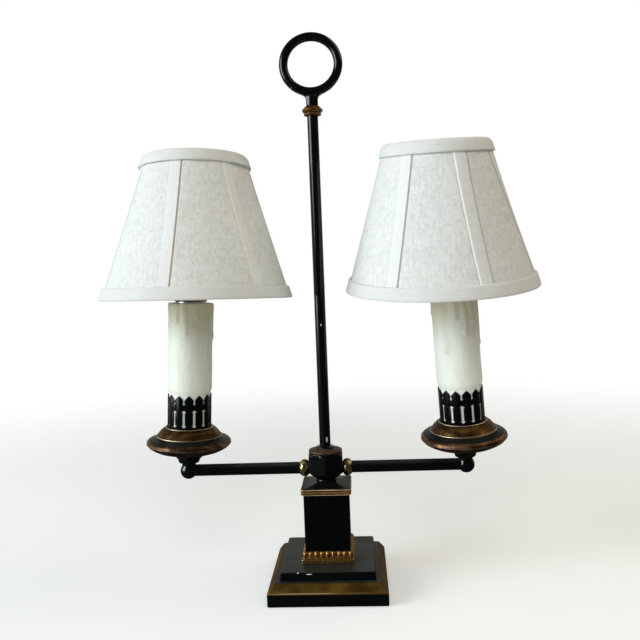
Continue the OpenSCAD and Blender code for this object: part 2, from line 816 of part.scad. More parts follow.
module socket_bracket(side) {
    leg_back = sqrt(pow(socket_d / 2, 2) - pow(bracket_w / 2, 2)) - 0.6;
    color(steel) at_lamp(side) difference() {
        intersection() {
            translate([0, 0, bracket_z]) union() {
                cylinder(r = bracket_eye_r, h = bracket_t);
                translate([-bracket_w / 2, 0, 0]) cube([bracket_w, socket_d, bracket_t]);
                translate([-bracket_w / 2, leg_back, 0])
                    cube([bracket_w, socket_d, socket_z + socket_h / 3 - bracket_z]);
            }
            cylinder(r = bracket_out, h = sleeve_top);
        }
        translate([0, 0, bracket_z - 1]) cylinder(r = pipe_d / 2 + hole_fit, h = bracket_t + 2);
        translate([0, 0, socket_z - 1]) cylinder(r = socket_d / 2 + rest_gap, h = socket_h);
    }
}

module bracket_nut(side) {
    color(brass) at_lamp(side) translate([0, 0, bracket_z + bracket_t])
        hex_nut(nut_flats, pipe_d / 2 + hole_fit, bracket_nut_h);
}

module socket_body(side) {
    well = shell_r + hole_fit;
    color(phenolic) at_lamp(side) difference() {
        translate([0, 0, socket_z]) cylinder(r = socket_d / 2, h = socket_h);
        translate([0, 0, socket_top - shell_h]) cylinder(r = well, h = shell_h + 1);
        translate([0, 0, socket_z - 1]) cylinder(d = wire_hole_d, h = socket_h);
    }
}

module socket_shell(side) {
    color(brass) at_lamp(side) translate([0, 0, socket_top - shell_h + rest_gap])
        tube(shell_r, shell_r - shell_t, shell_h - rest_gap);
}

module bulb_cap(side) {
    tip_z = bulb_foot - screw_h;
    color(brass) at_lamp(side) union() {
        translate([0, 0, tip_z]) cylinder(d = screw_d, h = screw_h);
        translate([0, 0, tip_z - contact_h]) cylinder(r1 = contact_r, r2 = screw_d / 2 - 1, h = contact_h);
    }
}

module bulb_collar(side) {
    r = bulb_collar_d / 2;
    top = globe_z - waist_down;
    color(white) at_lamp(side) rotate_extrude() polygon([
        [0, bulb_foot], [r, bulb_foot], [r, bulb_foot + 4], [waist_r, top], [0, top]]);
}

module bulb_globe(side) {
    color(white) at_lamp(side) translate([0, 0, globe_z]) difference() {
        sphere(r = globe_r);
        translate([0, 0, -globe_d - waist_down]) cylinder(r = globe_d, h = globe_d);
    }
}

// ---- Clip and shade

module shade_clip(side) {
    top = clip_r - 0.2;
    eye_r = wire_d / 2 + run_fit;
    color(steel) at_clip(side) difference() {
        union() {
            for (a = [45 : 90 : 315]) rotate([90, 0, a]) {
                rotate_extrude(angle = 90) translate([clip_r, 0]) circle(d = clip_d, $fn = 24);
                translate([clip_r, 0, 0]) rotate([90, 0, 0]) cylinder(d = clip_d, h = leg_h, $fn = 24);
            }
            translate([0, 0, top]) cylinder(d = 2 * clip_d, h = bar_z - top, $fn = 32);
            translate([-eye_l / 2, 0, bar_z]) rotate([0, 90, 0]) cylinder(r = eye_r + eye_wall, h = eye_l);
        }
        translate([-eye_l, 0, bar_z]) rotate([0, 90, 0]) cylinder(r = eye_r, h = 2 * eye_l);
    }
}

// Round hoop of the shade's frame, just inside the fabric at a height
module hoop(side, z) {
    translate([0, 0, z]) rotate_extrude() translate([hoop_r(side, z), 0]) circle(d = wire_d, $fn = 24);
}

// Upper hoop with the cross wire that lies in the clip's eye
module shade_frame(side) {
    h = shade_h * share(side);
    high = h - hoop_up;
    r1 = hoop_r(side, high);
    bar_up = h - wire_drop;
    bar_half = r1 - 3;
    color(steel) at_shade(side) {
        hoop(side, high);
        wire([-bar_half, 0, bar_up], [bar_half, 0, bar_up], wire_d);
        for (s = [-1, 1]) {
            translate([s * bar_half, 0, bar_up]) sphere(d = wire_d * 1.4, $fn = 24);
            wire([s * bar_half, 0, bar_up], [s * r1, 0, high], leg_d);
        }
    }
}

module lower_hoop(side) {
    color(steel) at_shade(side) hoop(side, hoop_up);
}

module shade_fabric(side) {
    h = shade_h * share(side);
    r0 = cone_r(side, 0);
    r1 = cone_r(side, h);
    color(linen) at_shade(side) rotate_extrude()
        polygon([[r0 - fabric_t, 0], [r0, 0], [r1, h], [r1 - fabric_t, h]]);
}

// Folded band on the outside of the fabric between two heights
module trim_band(side, z0, z1) {
    ra = cone_r(side, z0);
    rb = cone_r(side, z1);
    at_shade(side) rotate_extrude()
        polygon([[ra, z0], [ra + trim_t, z0], [rb + trim_t, z1], [rb, z1]]);
}

module top_trim(side) {
    h = shade_h * share(side);
    color(linen) trim_band(side, h - trim_h, h);
}

module bottom_trim(side) {
    color(linen) trim_band(side, 0, trim_h);
}

felt_pad();
lower_tier();
upper_tier();
ballast_weight();
base_washer();
base_nut();
cord_bushing();
bead_moulding();
column();
column_cap();
neck_ring();
centre_pipe();
hub_body();
hub_disc();
rod_foot_ring();
centre_rod();
finial_collar();
ring_finial();
arm_collar(left);  // left_arm_collar
arm_tube(left);  // left_arm_tube
ball_elbow(left);  // left_ball_elbow
pan_nipple(left);  // left_pan_nipple
drip_dish(left);  // left_drip_dish
pan_dome(left);  // left_pan_dome
gallery(left);  // left_gallery
socket_bracket(left);  // left_socket_bracket
bracket_nut(left);  // left_bracket_nut
socket_body(left);  // left_socket_body
socket_shell(left);  // left_socket_shell
candle_sleeve(left);  // left_candle_sleeve
bulb_cap(left);  // left_bulb_cap
bulb_collar(left);  // left_bulb_collar
bulb_globe(left);  // left_bulb_globe
shade_clip(left);  // left_shade_clip
shade_frame(left);  // left_shade_frame
lower_hoop(left);  // left_lower_hoop
shade_fabric(left);  // left_shade_fabric
top_trim(left);  // left_top_trim
bottom_trim(left);  // left_bottom_trim
arm_collar(right);  // right_arm_collar
arm_tube(right);  // right_arm_tube
ball_elbow(right);  // right_ball_elbow
pan_nipple(right);  // right_pan_nipple
drip_dish(right);  // right_drip_dish
pan_dome(right);  // right_pan_dome
gallery(right);  // right_gallery
socket_bracket(right);  // right_socket_bracket
bracket_nut(right);  // right_bracket_nut
socket_body(right);  // right_socket_body
socket_shell(right);  // right_socket_shell
candle_sleeve(right);  // right_candle_sleeve
bulb_cap(right);  // right_bulb_cap
bulb_collar(right);  // right_bulb_collar
bulb_globe(right);  // right_bulb_globe
shade_clip(right);  // right_shade_clip
shade_frame(right);  // right_shade_frame
lower_hoop(right);  // right_lower_hoop
shade_fabric(right);  // right_shade_fabric
top_trim(right);  // right_top_trim
bottom_trim(right);  // right_bottom_trim
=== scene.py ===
import json
import math

import bmesh
import bpy
from mathutils import Matrix, Vector, noise


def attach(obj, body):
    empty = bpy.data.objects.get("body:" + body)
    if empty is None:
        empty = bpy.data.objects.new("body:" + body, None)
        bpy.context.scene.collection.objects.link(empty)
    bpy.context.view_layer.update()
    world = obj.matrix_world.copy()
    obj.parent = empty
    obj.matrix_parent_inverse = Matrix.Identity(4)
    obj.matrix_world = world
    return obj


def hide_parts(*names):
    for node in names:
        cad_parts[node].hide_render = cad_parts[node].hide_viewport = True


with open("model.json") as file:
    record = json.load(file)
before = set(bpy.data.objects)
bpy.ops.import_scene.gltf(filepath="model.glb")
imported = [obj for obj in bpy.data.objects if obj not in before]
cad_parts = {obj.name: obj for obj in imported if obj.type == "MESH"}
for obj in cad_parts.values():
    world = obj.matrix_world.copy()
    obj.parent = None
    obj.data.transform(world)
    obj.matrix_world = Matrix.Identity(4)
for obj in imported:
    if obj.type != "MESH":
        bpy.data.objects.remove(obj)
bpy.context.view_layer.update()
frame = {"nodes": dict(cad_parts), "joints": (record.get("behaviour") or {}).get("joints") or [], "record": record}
nodes = frame["nodes"]
joints = {joint["name"]: joint for joint in frame["joints"]}
scene = bpy.context.scene
mm = 0.001
sides = {"left": -1, "right": 1}


# Places: each lamp has its own axes, taken from the joints it moves on.


def axesAt(origin, up, across=(1, 0, 0)):
    z = Vector(up).normalized()
    y = z.cross(Vector(across)).normalized()
    place = Matrix((y.cross(z), y, z)).transposed().to_4x4()
    place.translation = Vector(origin)
    return place


def pointsIn(node, place=Matrix()):  # a node's own points on some axes, in mm
    back = place.inverted()
    return [(back @ vert.co) / mm for vert in nodes[node].data.vertices]


def measure(node, place=Matrix()):  # lowest and highest corner, in mm
    points = pointsIn(node, place)
    return (
        Vector([min(p[k] for p in points) for k in range(3)]),
        Vector([max(p[k] for p in points) for k in range(3)]),
    )


def topWhere(node, keep, place=Matrix()):  # highest of the points that keep picks
    return max(p.z for p in pointsIn(node, place) if keep(p))


def sideWhere(node, keep):  # how far out the points that keep picks reach along X
    return max(p.x for p in pointsIn(node) if keep(p))


def fromAxis(point):
    return math.hypot(point.x, point.y)


def reachAt(node, place, height, within=0.3):  # outer radius near a height, in mm
    points = pointsIn(node, place)
    return max(fromAxis(p) for p in points if abs(p.z - height) < within)


def between(start, end, share):
    return start + (end - start) * share


def onCircle(reach, turn):
    return reach * math.cos(turn), reach * math.sin(turn)


def turnsRound(count):
    return [2 * math.pi * k / count for k in range(count)]


def jointAxes(joint, across=(1, 0, 0)):
    return axesAt(joints[joint]["pos_m"], joints[joint]["axis"], across)


lampAxes = {side: jointAxes(side + "_sleeve_lift") for side in sides}
clipAxes = {
    side: jointAxes(side + "_clip_lift", joints[side + "_shade_tilt"]["axis"])
    for side in sides
}


# Node trees: sums on sockets are written as sums, and every node goes through add.


class Plug:
    def __init__(self, plan, socket):
        self.plan, self.socket = plan, socket

    def __add__(self, other):
        return self.plan.sum("ADD", self, other)

    def __radd__(self, other):
        return self.plan.sum("ADD", other, self)

    def __sub__(self, other):
        return self.plan.sum("SUBTRACT", self, other)

    def __rsub__(self, other):
        return self.plan.sum("SUBTRACT", other, self)

    def __mul__(self, other):
        return self.plan.sum("MULTIPLY", self, other)

    def __truediv__(self, other):
        return self.plan.sum("DIVIDE", self, other)

    def __abs__(self):
        return self.plan.sum("ABSOLUTE", self)


class Plan:
    def __init__(self, tree):
        self.tree = tree

    def add(self, kind, settings=None, inputs=None, out=0):
        node = self.tree.nodes.new(kind)
        for key, value in (settings or {}).items():
            setattr(node, key, value)
        for key, value in (inputs or {}).items():
            if isinstance(value, Plug):
                self.tree.links.new(value.socket, node.inputs[key])
            elif node.inputs[key].type == "RGBA":
                node.inputs[key].default_value = (*value, 1)
            else:
                node.inputs[key].default_value = value
        return Plug(self, node.outputs[out]) if len(node.outputs) else None

    def sum(self, operation, *values):
        inputs = dict(enumerate(values))
        return self.add("ShaderNodeMath", {"operation": operation}, inputs)

    def step(self, value, low, high):  # 0 below low, 1 above high, eased between
        inputs = {"Value": value, "From Min": low, "From Max": high}
        settings = {"interpolation_type": "SMOOTHSTEP"}
        return self.add("ShaderNodeMapRange", settings, inputs)

    def blend(self, factor, first, second):  # of two colours
        inputs = {0: factor, 6: first, 7: second}
        return self.add("ShaderNodeMix", {"data_type": "RGBA"}, inputs, out=2)

    def spot(self):  # where a point lies on the piece at rest
        return self.add("ShaderNodeTexCoord", out=3)

    def drawn(self, stretch, place=None, turn=(0, 0, 0)):  # a stretched pattern's place
        inputs = {"Vector": place or self.spot(), "Scale": stretch, "Rotation": turn}
        return self.add("ShaderNodeMapping", None, inputs)

    def part(self, place, which):  # one coordinate of a place
        return self.add("ShaderNodeSeparateXYZ", None, {"Vector": place}, out=which)

    def grain(self, scale, detail=3, rough=0.6, place=None, warp=0.0):
        inputs = {"Vector": place or self.spot(), "Scale": scale, "Detail": detail}
        inputs.update({"Roughness": rough, "Distortion": warp})
        return self.add("ShaderNodeTexNoise", None, inputs)

    def mark(self, name):  # a value kept on the mesh
        return self.add("ShaderNodeAttribute", {"attribute_name": name}, out=2)

    def facing(self, which=2):  # one part of the surface's own direction
        return self.part(self.add("ShaderNodeTexCoord", out=1), which)

    def apart(self, operation, first, second):  # of two places
        settings = {"operation": operation}
        return self.add("ShaderNodeVectorMath", settings, {0: first, 1: second})

    def length(self, way):
        settings = {"operation": "LENGTH"}
        return self.add("ShaderNodeVectorMath", settings, {0: way}, out=1)

    def near(self, centre, size):  # 0 at a place in mm, 1 round an oval about it
        away = self.apart("SUBTRACT", self.spot(), [c * mm for c in centre])
        return self.length(self.apart("DIVIDE", away, [c * mm for c in size]))

    def stained(self, colour, marks, ragged, outer, inner):
        # marks of some colour and depth, from an outer to an inner edge
        for centre, size, tone, depth in marks:
            reach = self.step(self.near(centre, size) + ragged, outer, inner)
            colour = self.blend(reach * depth, colour, tone)
        return colour

    def relief(self, height, depth):
        return self.add("ShaderNodeBump", None, {"Height": height, "Distance": depth})


def finish(name, recipe, **look):  # a material whose shader comes from its recipe
    material = bpy.data.materials.new(name)
    material.use_nodes = True
    material.node_tree.nodes.clear()
    plan = Plan(material.node_tree)
    shader = plan.add("ShaderNodeBsdfPrincipled", None, recipe(plan, **look))
    plan.add("ShaderNodeOutputMaterial", None, {"Surface": shader})
    return material


# Meshes: every piece is built in millimetres on its own axes and then set in place.


def addPiece(name, bm, place, finishes, sharp=48, closed=True):
    if closed:
        bmesh.ops.remove_doubles(bm, verts=bm.verts, dist=1e-4)
        bmesh.ops.recalc_face_normals(bm, faces=bm.faces)
    bm.transform(place @ Matrix.Scale(mm, 4))
    mesh = bpy.data.meshes.new(name)
    bm.to_mesh(mesh)
    bm.free()
    for material in finishes:
        mesh.materials.append(material)
    piece = bpy.data.objects.new(name, mesh)
    scene.collection.objects.link(piece)
    return smoothed(piece, sharp)


def smoothed(piece, sharp=48):
    piece.data.shade_smooth()
    piece.data.set_sharp_from_angle(angle=math.radians(sharp))
    return piece


def settle(piece, place=None):  # modifiers become plain mesh
    graph = bpy.context.evaluated_depsgraph_get()
    mesh = bpy.data.meshes.new_from_object(piece.evaluated_get(graph))
    piece.modifiers.clear()
    piece.data = mesh
    mesh.name = piece.name
    if place:
        mesh.transform(place)
    return piece


def markEdges(piece, tight=1200):  # how sharply the surface bends, for wear and tarnish, for painted shade in hollows and painted highlights on ridges
    bm = bmesh.new()
    bm.from_mesh(piece.data)
    bm.normal_update()
    edge = bm.verts.layers.float.new("edge")
    for vert in bm.verts:
        steps = [e.other_vert(vert).co - vert.co for e in vert.link_edges]
        bends = [-2 * vert.normal.dot(s) / s.length_squared for s in steps if s.length]
        bend = sum(bends) / max(1, len(bends)) / tight
        vert[edge] = max(-1, min(1, bend))
    bm.to_mesh(piece.data)
    bm.free()
    return piece


def wear(piece, body, slot, *replaced):  # fixes a piece to its body and hides the nodes it replaces
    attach(piece, body)
    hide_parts(*replaced)
    return piece


def eased(line, closed=False, steps=4, shoulder=0.5):
    # (across, up, rounding) points: each corner is rounded off, with a point beside it
    out = []
    for i, point in enumerate(line):
        here = Vector(point[:2])
        rounding = point[2] if len(point) > 2 else 0
        if not rounding or (not closed and i in (0, len(line) - 1)):
            out.append(here)
            continue
        before = Vector(line[i - 1][:2]) - here
        after = Vector(line[(i + 1) % len(line)][:2]) - here
        enter = here + before.normalized() * min(rounding, before.length * 0.49)
        leave = here + after.normalized() * min(rounding, after.length * 0.49)
        if before.length * 0.49 > rounding + shoulder:
            out.append(enter + before.normalized() * shoulder)
        for k in range(steps + 1):
            t = k / steps
            out.append(enter * (1 - t) ** 2 + here * 2 * t * (1 - t) + leave * t * t)
        if after.length * 0.49 > rounding + shoulder:
            out.append(leave + after.normalized() * shoulder)
    return out


def arcOf(centre, radius, start, end, steps=8):  # angles in degrees from straight out
    out = []
    for k in range(steps + 1):
        across, up = onCircle(radius, math.radians(between(start, end, k / steps)))
        out.append((centre[0] + across, centre[1] + up))
    return out


def skin(bm, loops, closed, paint=None):  # faces between neighbouring loops of points
    pairs = list(zip(loops, loops[1:])) + ([(loops[-1], loops[0])] if closed else [])
    for row, (low, high) in enumerate(pairs):
        count = max(len(low), len(high))
        for k in range(count):
            after = (k + 1) % count
            if len(low) == 1:
                corners = (low[0], high[after], high[k])
            elif len(high) == 1:
                corners = (low[k], low[after], high[0])
            else:
                corners = (low[k], low[after], high[after], high[k])
            face = bm.faces.new(corners)
            face.material_index = paint(row) if paint else 0


def swept(name, line, place, finishes, ringAt, closed, paint):
    # a ring of points at each (across, up) point of the line, which runs from its
    # lowest inner point up the outside
    bm = bmesh.new()
    loops = []
    for across, up in line:
        ring = ringAt(across) if across > 1e-6 else [(0, 0)]
        loops.append([bm.verts.new((x, y, up)) for x, y in ring])
    rowPaint = paint and (lambda row: paint(line[row], line[row - len(line) + 1]))
    skin(bm, loops, closed, rowPaint)
    return markEdges(addPiece(name, bm, place, finishes))


def turned(name, line, place, finishes, slices=96, closed=True, paint=None):
    def ringAt(reach):  # off the lathe
        return [onCircle(reach, turn) for turn in turnsRound(slices)]

    return swept(name, line, place, finishes, ringAt, closed, paint)


def squareRing(half, corner, steps=5, along=6, beside=0.6):
    # a square with rounded corners, and a point beside each of them
    corner = min(corner, half * 0.9)
    flat = half - corner
    close = min(beside, flat * 0.2)
    spots = [flat - 2 * flat * k / along for k in range(1, along)]
    spots = [flat - close] + spots + [close - flat]
    ring = []
    for quarter in range(4):
        turn = Matrix.Rotation(math.pi / 2 * quarter, 2)
        for k in range(steps + 1):
            across, up = onCircle(corner, math.pi / 2 * k / steps)
            ring.append(turn @ Vector((flat + across, flat + up)))
        ring += [turn @ Vector((spot, half)) for spot in spots]
    return ring


def squared(name, line, finishes, corner=0.6, closed=True, paint=None):
    def ringAt(half):  # a square moulding
        return squareRing(half, corner)

    return swept(name, line, Matrix(), finishes, ringAt, closed, paint)


def tubeLine(node, place, bore, rounding):  # a plain tube's section
    low, high = measure(node, place)
    return eased(
        [
            (bore, low.z),
            (high.x, low.z, rounding),
            (high.x, high.z, rounding),
            (bore, high.z),
        ],
        closed=True,
    )


def mergedCopy(name, node, finishes):
    bm = bmesh.new()
    bm.from_mesh(nodes[node].data)
    bmesh.ops.remove_doubles(bm, verts=bm.verts, dist=1e-6)
    bmesh.ops.dissolve_limit(
        bm, angle_limit=math.radians(0.6), verts=bm.verts, edges=bm.edges
    )
    bm.transform(Matrix.Scale(1 / mm, 4))
    return addPiece(name, bm, Matrix(), finishes, closed=False)


def forged(name, node, finishes, grainSize, passes, more=None):
    # a cast piece, whose edges run into each other
    piece = mergedCopy(name, node, finishes)
    if more:
        bm = bmesh.new()
        bm.from_mesh(piece.data)
        bm.from_mesh(more.data)
        bm.to_mesh(piece.data)
        bm.free()
        bpy.data.objects.remove(more)
    melt = piece.modifiers.new("melt", "REMESH")
    melt.mode, melt.voxel_size = "VOXEL", grainSize * mm
    settle(piece)
    soften = piece.modifiers.new("soften", "SMOOTH")
    soften.factor, soften.iterations = 0.5, passes
    settle(piece)
    piece.data.materials.clear()
    for material in finishes:
        piece.data.materials.append(material)
    return markEdges(smoothed(piece, 180))


# Finishes.

lacquerLook = {
    "black": (0.002, 0.0025, 0.0028),
    "dust": (0.075, 0.078, 0.075),
    "chip": (0.52, 0.50, 0.46),
    "gloss": 0.17,
    "shine": 0.4,
    "dusty": 0.25,
    "wornAt": 1.6,  # how sharp an edge is where the lacquer has gone
    "chips": (),  # place and size of each chip, and of the hub's painted glint, in mm
    "relief": 0.0004,
}


def blackLacquer(plan, **change):
    look = {**lacquerLook, **change}
    cloud, speck = plan.grain(34, rough=0.55), plan.grain(1300)
    ragged = plan.grain(900, 4, 0.7)
    broken = plan.mark("edge") + plan.grain(420, 5, 0.7)
    wornAndGlint = plan.step(broken, look["wornAt"], look["wornAt"] + 0.04)
    # chips, and the hub's painted glint, share the chip colour
    for centre, size in look["chips"]:
        chip = plan.step(plan.near(centre, size) + ragged * 0.9, 1.42, 1.3)
        wornAndGlint = plan.sum("MAXIMUM", wornAndGlint, chip)
    lying = plan.step(plan.facing(), 0.35, 0.95)  # dust lies on what faces up
    thick = plan.step(cloud + ragged * 0.25, 0.3, 0.9) * 0.5 + 0.5
    dust = lying * thick * look["dusty"]
    colour = plan.blend(dust, look["black"], look["dust"])
    colour = plan.blend(plan.step(speck, 0.72, 0.8) * 0.25, colour, look["dust"])
    smear = plan.step(cloud, 0.4, 0.7) * 0.06
    return {
        "Base Color": plan.blend(wornAndGlint, colour, look["chip"]),
        "Roughness": look["gloss"] + dust * 0.5 + wornAndGlint * 0.4 + smear,
        "Specular IOR Level": look["shine"],
        "Normal": plan.relief(cloud + speck * 0.02 - wornAndGlint * 0.25, look["relief"]),
    }


gildingLook = {
    "bright": (0.62, 0.34, 0.09),
    "dark": (0.17, 0.075, 0.018),
    # painted shade: the colour of hollows and creases
    "creaseShade": (0.02, 0.009, 0.003),
    # colour of rubbed edges, which also serve as painted highlights
    "rubbed": (0.95, 0.74, 0.42),
    "metal": 0.9,
    "gloss": 0.3,
    "age": 0.5,  # how little of it has darkened
    "size": 420,  # patches to the metre
    "stretch": (1, 1, 1),
    "rubAt": 0.9,  # how sharp an edge is where it is rubbed bright, partly wear and partly painted highlight
    "marks": (),  # place, size, colour and depth, in mm
    "relief": 0.0003,
}


def gilding(plan, **change):
    look = {**gildingLook, **change}
    edge = plan.mark("edge")
    patch = plan.grain(look["size"], 4, place=plan.drawn(look["stretch"]))
    fine = plan.grain(2600)
    darkAt = 1.0 - look["age"] * 0.75
    age = plan.step(patch + fine * 0.3, darkAt, darkAt + 0.35)
    # painted shade: hollows and creases darkened nearly to black
    creaseShade = plan.step(edge * -1 + fine * 0.1, 0.08, 0.42)
    # sharp ridges rubbed bright: partly wear, partly painted highlight lines
    rub = plan.step(edge + patch * 0.5, look["rubAt"], look["rubAt"] + 0.45)
    colour = plan.blend(age, look["dark"], look["bright"])
    colour = plan.blend(rub, colour, look["rubbed"])
    colour = plan.stained(colour, look["marks"], patch * 0.8, 1.5, 1.1)
    return {
        "Base Color": plan.blend(creaseShade, colour, look["creaseShade"]),
        "Metallic": look["metal"] - creaseShade * 0.5,
        "Roughness": look["gloss"] + fine * 0.16 + patch * 0.1 - rub * 0.06,
        "Normal": plan.relief(patch + fine * 0.35, look["relief"]),
    }


brassLook = {
    "colour": (0.90, 0.70, 0.36),
    "tarnish": (0.32, 0.22, 0.07),
    "gloss": 0.12,
    "relief": 0.00012,
}


def turnedBrass(plan, **change):
    look = {**brassLook, **change}
    cloud = plan.grain(160, 4, 0.62)
    lines = plan.grain(30, 2, 0.5, plan.drawn((1, 1, 60)))
    tarnish = plan.step(cloud + plan.mark("edge") * -0.4, 0.42, 0.8)
    return {
        "Base Color": plan.blend(tarnish, look["colour"], look["tarnish"]),
        "Metallic": 1.0,
        "Roughness": look["gloss"] + tarnish * 0.25 + lines * 0.1,
        "Normal": plan.relief(lines + cloud * 0.4, look["relief"]),
    }


def platedSteel(plan, colour=(0.56, 0.55, 0.52), gloss=0.28, spot=(0.22, 0.17, 0.12)):
    cloud = plan.grain(240, 4)
    spots = plan.step(plan.grain(900), 0.6, 0.75)
    return {
        "Base Color": plan.blend(spots * 0.6, colour, spot),
        "Metallic": 1.0,
        "Roughness": gloss + cloud * 0.25 + spots * 0.2,
        "Normal": plan.relief(cloud, 0.0001),
    }


def castIron(plan, colour=(0.07, 0.068, 0.066), rusty=(0.17, 0.075, 0.035)):
    rough = plan.grain(700, 6, 0.7)
    rust = plan.step(plan.grain(90, 4, 0.65), 0.5, 0.68)
    return {
        "Base Color": plan.blend(rust, colour, rusty),
        "Metallic": 0.6 - rust * 0.5,
        "Roughness": 0.62 + rough * 0.3,
        "Normal": plan.relief(rough, 0.0008),
    }


def moulded(plan, colour=(0.1, 0.09, 0.08), gloss=0.35, dust=(0.3, 0.28, 0.25)):
    cloud, fine = plan.grain(130, 4), plan.grain(2600, 2, 0.5)
    return {
        "Base Color": plan.blend(plan.step(cloud, 0.55, 0.9) * 0.3, colour, dust),
        "Roughness": gloss + cloud * 0.2 + fine * 0.08,
        "Normal": plan.relief(fine + cloud, 0.0001),
    }


def pressedFelt(plan, deep=(0.018, 0.034, 0.022), tips=(0.10, 0.16, 0.11)):
    hair, patch = plan.grain(2400, 4, 0.7, warp=1.2), plan.grain(60)
    return {
        "Base Color": plan.blend(hair, deep, tips),
        "Roughness": 0.86 + patch * 0.12,
        "Sheen Weight": 0.4,
        "Normal": plan.relief(hair + patch * 0.4, 0.0008),
    }


def frostedBulb(plan, dull=(0.84, 0.84, 0.81), light=(0.92, 0.92, 0.9)):
    haze = plan.grain(900)
    return {
        "Base Color": plan.blend(haze, dull, light),
        "Roughness": 0.42 + haze * 0.12,
        "Subsurface Weight": 0.15,
        "Subsurface Radius": (0.004, 0.004, 0.004),
        "Subsurface Scale": 1.0,
        "Normal": plan.relief(haze, 0.00005),
    }


waxLook = {
    "cream": (0.85, 0.86, 0.745),
    "amber": (0.60, 0.53, 0.30),
    "chalk": (0.88, 0.885, 0.84),
    "gloss": 0.36,
    "relief": 0.0009,
}


def candleWax(plan, **change):
    look = {**waxLook, **change}
    thick = plan.mark("thick")  # 1 on runs and lumps of wax
    cloud = plan.grain(60, 4, place=plan.drawn((1, 1, 0.4)))
    fine = plan.grain(520)
    # yellower and darker towards the top: partly aged wax, partly painted shade from the shade above
    age = plan.step(plan.mark("up") + cloud * 0.7, 0.8, 1.45)
    bloom = plan.step(cloud + fine * 0.2, 0.6, 0.85) * 0.4
    colour = plan.blend(age * 0.85, look["cream"], look["amber"])
    colour = plan.blend(bloom, colour, look["chalk"])
    return {
        "Base Color": plan.blend(thick * 0.22, colour, look["amber"]),
        "Roughness": look["gloss"] + fine * 0.25 - thick * 0.08,
        "Subsurface Weight": 0.08,
        "Subsurface Radius": (0.004, 0.0035, 0.002),
        "Subsurface Scale": 1.0,
        "Normal": plan.relief(cloud + fine * 0.12, look["relief"]),
    }


stain = (0.2, 0.19, 0.18)
linenLook = {
    "thread": 1300.0,  # threads to the metre
    "slub": 430.0,
    "light": (0.86, 0.855, 0.825),
    "dark": (0.69, 0.685, 0.65),
    "bright": (0.93, 0.925, 0.90),
    "gap": (0.60, 0.585, 0.54),
    "warm": (0.74, 0.70, 0.60),
    "band": (0.85, 0.85, 0.825),
    "softLine": (0.42, 0.40, 0.36),
    "darkLine": (0.36, 0.33, 0.24),
    "bandWidth": 0.011,  # metres of cloth turned in along a seam
    "relief": 0.0002,
    "specks": (  # place, size, colour and depth of each stained thread
        ((-120.4, -53.0, 330.7), (1.3, 2.5, 0.45), stain, 0.85),
        ((-145.0, -48.0, 309.5), (0.7, 2.0, 0.4), stain, 0.4),
        ((63.7, -60.3, 318.5), (0.7, 2.0, 0.7), stain, 0.7),
    ),
}


def weave(plan, place, threads, long=0.2):  # light and dark threads both ways
    upright, level = (threads, threads * long, 1), (threads * long, threads, 1)
    warp = plan.grain(1.0, 3, 0.62, plan.drawn(upright, place))
    weft = plan.grain(1.0, 3, 0.62, plan.drawn(level, place, (0, 0, 0.01)))
    return warp, weft


def overUnder(plan, place, threads):  # the plain weave's own checker of bumps
    wave = [plan.sum("SINE", plan.part(place, k) * (threads * math.pi)) for k in (0, 1)]
    return wave[0] * wave[1] * 0.5 + 0.5


def slubLinen(plan):
    look = linenLook
    place = plan.add("ShaderNodeUVMap", {"uv_map": "weave"})
    seam = plan.part(plan.add("ShaderNodeUVMap", {"uv_map": "seam"}), 0)  # metres off
    tone, band = (
        plan.add("ShaderNodeVertexColor", {"layer_name": "seamTone"}, out=k)
        for k in (0, 1)
    )
    warp, weft = weave(plan, place, look["thread"], 0.25)
    slubUp, slubAcross = weave(plan, place, look["slub"], 0.34)
    over = overUnder(plan, place, look["thread"])
    patch, cloud = plan.grain(150, 4, 0.65), plan.grain(42, 4)

    cloth = warp * 0.3 + weft * 0.25 + slubUp * 0.5 + slubAcross * 0.35
    cloth = plan.step(cloth + patch * 0.25 + cloud * 0.2, 0.72, 1.12)
    colour = plan.blend(cloth, look["dark"], look["light"])
    colour = plan.blend(plan.step(cloud, 0.52, 0.72) * 0.35, colour, look["warm"])
    across = plan.step(slubAcross, 0.64, 0.8) * 0.7
    thick = plan.sum("MAXIMUM", plan.step(slubUp, 0.6, 0.76), across)
    colour = plan.blend(thick * 0.55, colour, look["bright"])
    thin = plan.step(slubUp + warp * 0.5, 0.66, 0.54)
    colour = plan.blend(thin * 0.4, colour, look["gap"])

    # the turned-in band beside a seam, the lines along its edge, and the stitching
    width = look["bandWidth"]
    banded = plan.step(band, 0.1, 0.2)
    turnIn = banded * plan.step(seam, width + 0.0002, width - 0.0002)
    colour = plan.blend(turnIn * (0.5 + patch * 0.3), colour, look["band"])
    offEdge = abs(seam - width + plan.grain(300, rough=0.55) * 0.0003)
    line = plan.step(offEdge, 0.0007, 0.0002)
    colour = plan.blend(line * banded * 0.15, colour, look["softLine"])
    doubled = line * plan.step(band, 0.7, 0.9)
    colour = plan.blend(doubled * 0.7, colour, look["darkLine"])
    ragged = plan.grain(500, rough=0.55) * 0.0004
    stitched = plan.step(seam + ragged, 0.00115, 0.0007)
    colour = plan.blend(stitched * 0.85, colour, tone)

    height = over * 0.15 + (warp + weft) * 0.4 + patch * 0.5 - stitched * 1.2
    height = height + (slubUp + slubAcross) * (1 - turnIn * 0.6)
    return {
        "Base Color": plan.stained(colour, look["specks"], 0.0, 1.1, 0.7),
        "Roughness": 0.82 + over * 0.1,
        "Sheen Weight": 0.1,
        "Sheen Roughness": 0.5,
        "Specular IOR Level": 0.2,
        "Normal": plan.relief(height, look["relief"]),
    }


tapeLook = {
    "light": (0.80, 0.795, 0.765),
    "dark": (0.72, 0.71, 0.67),
    "relief": 0.00013,
    "marks": (  # place, size, colour and depth, where the right upper trim is soiled
        ((73.1, -58.2, 360.1), (1.6, 2.5, 0.7), (0.24, 0.22, 0.2), 0.5),
        ((97.2, -68.5, 358.4), (3.0, 2.5, 0.9), (0.24, 0.22, 0.2), 0.55),
    ),
}


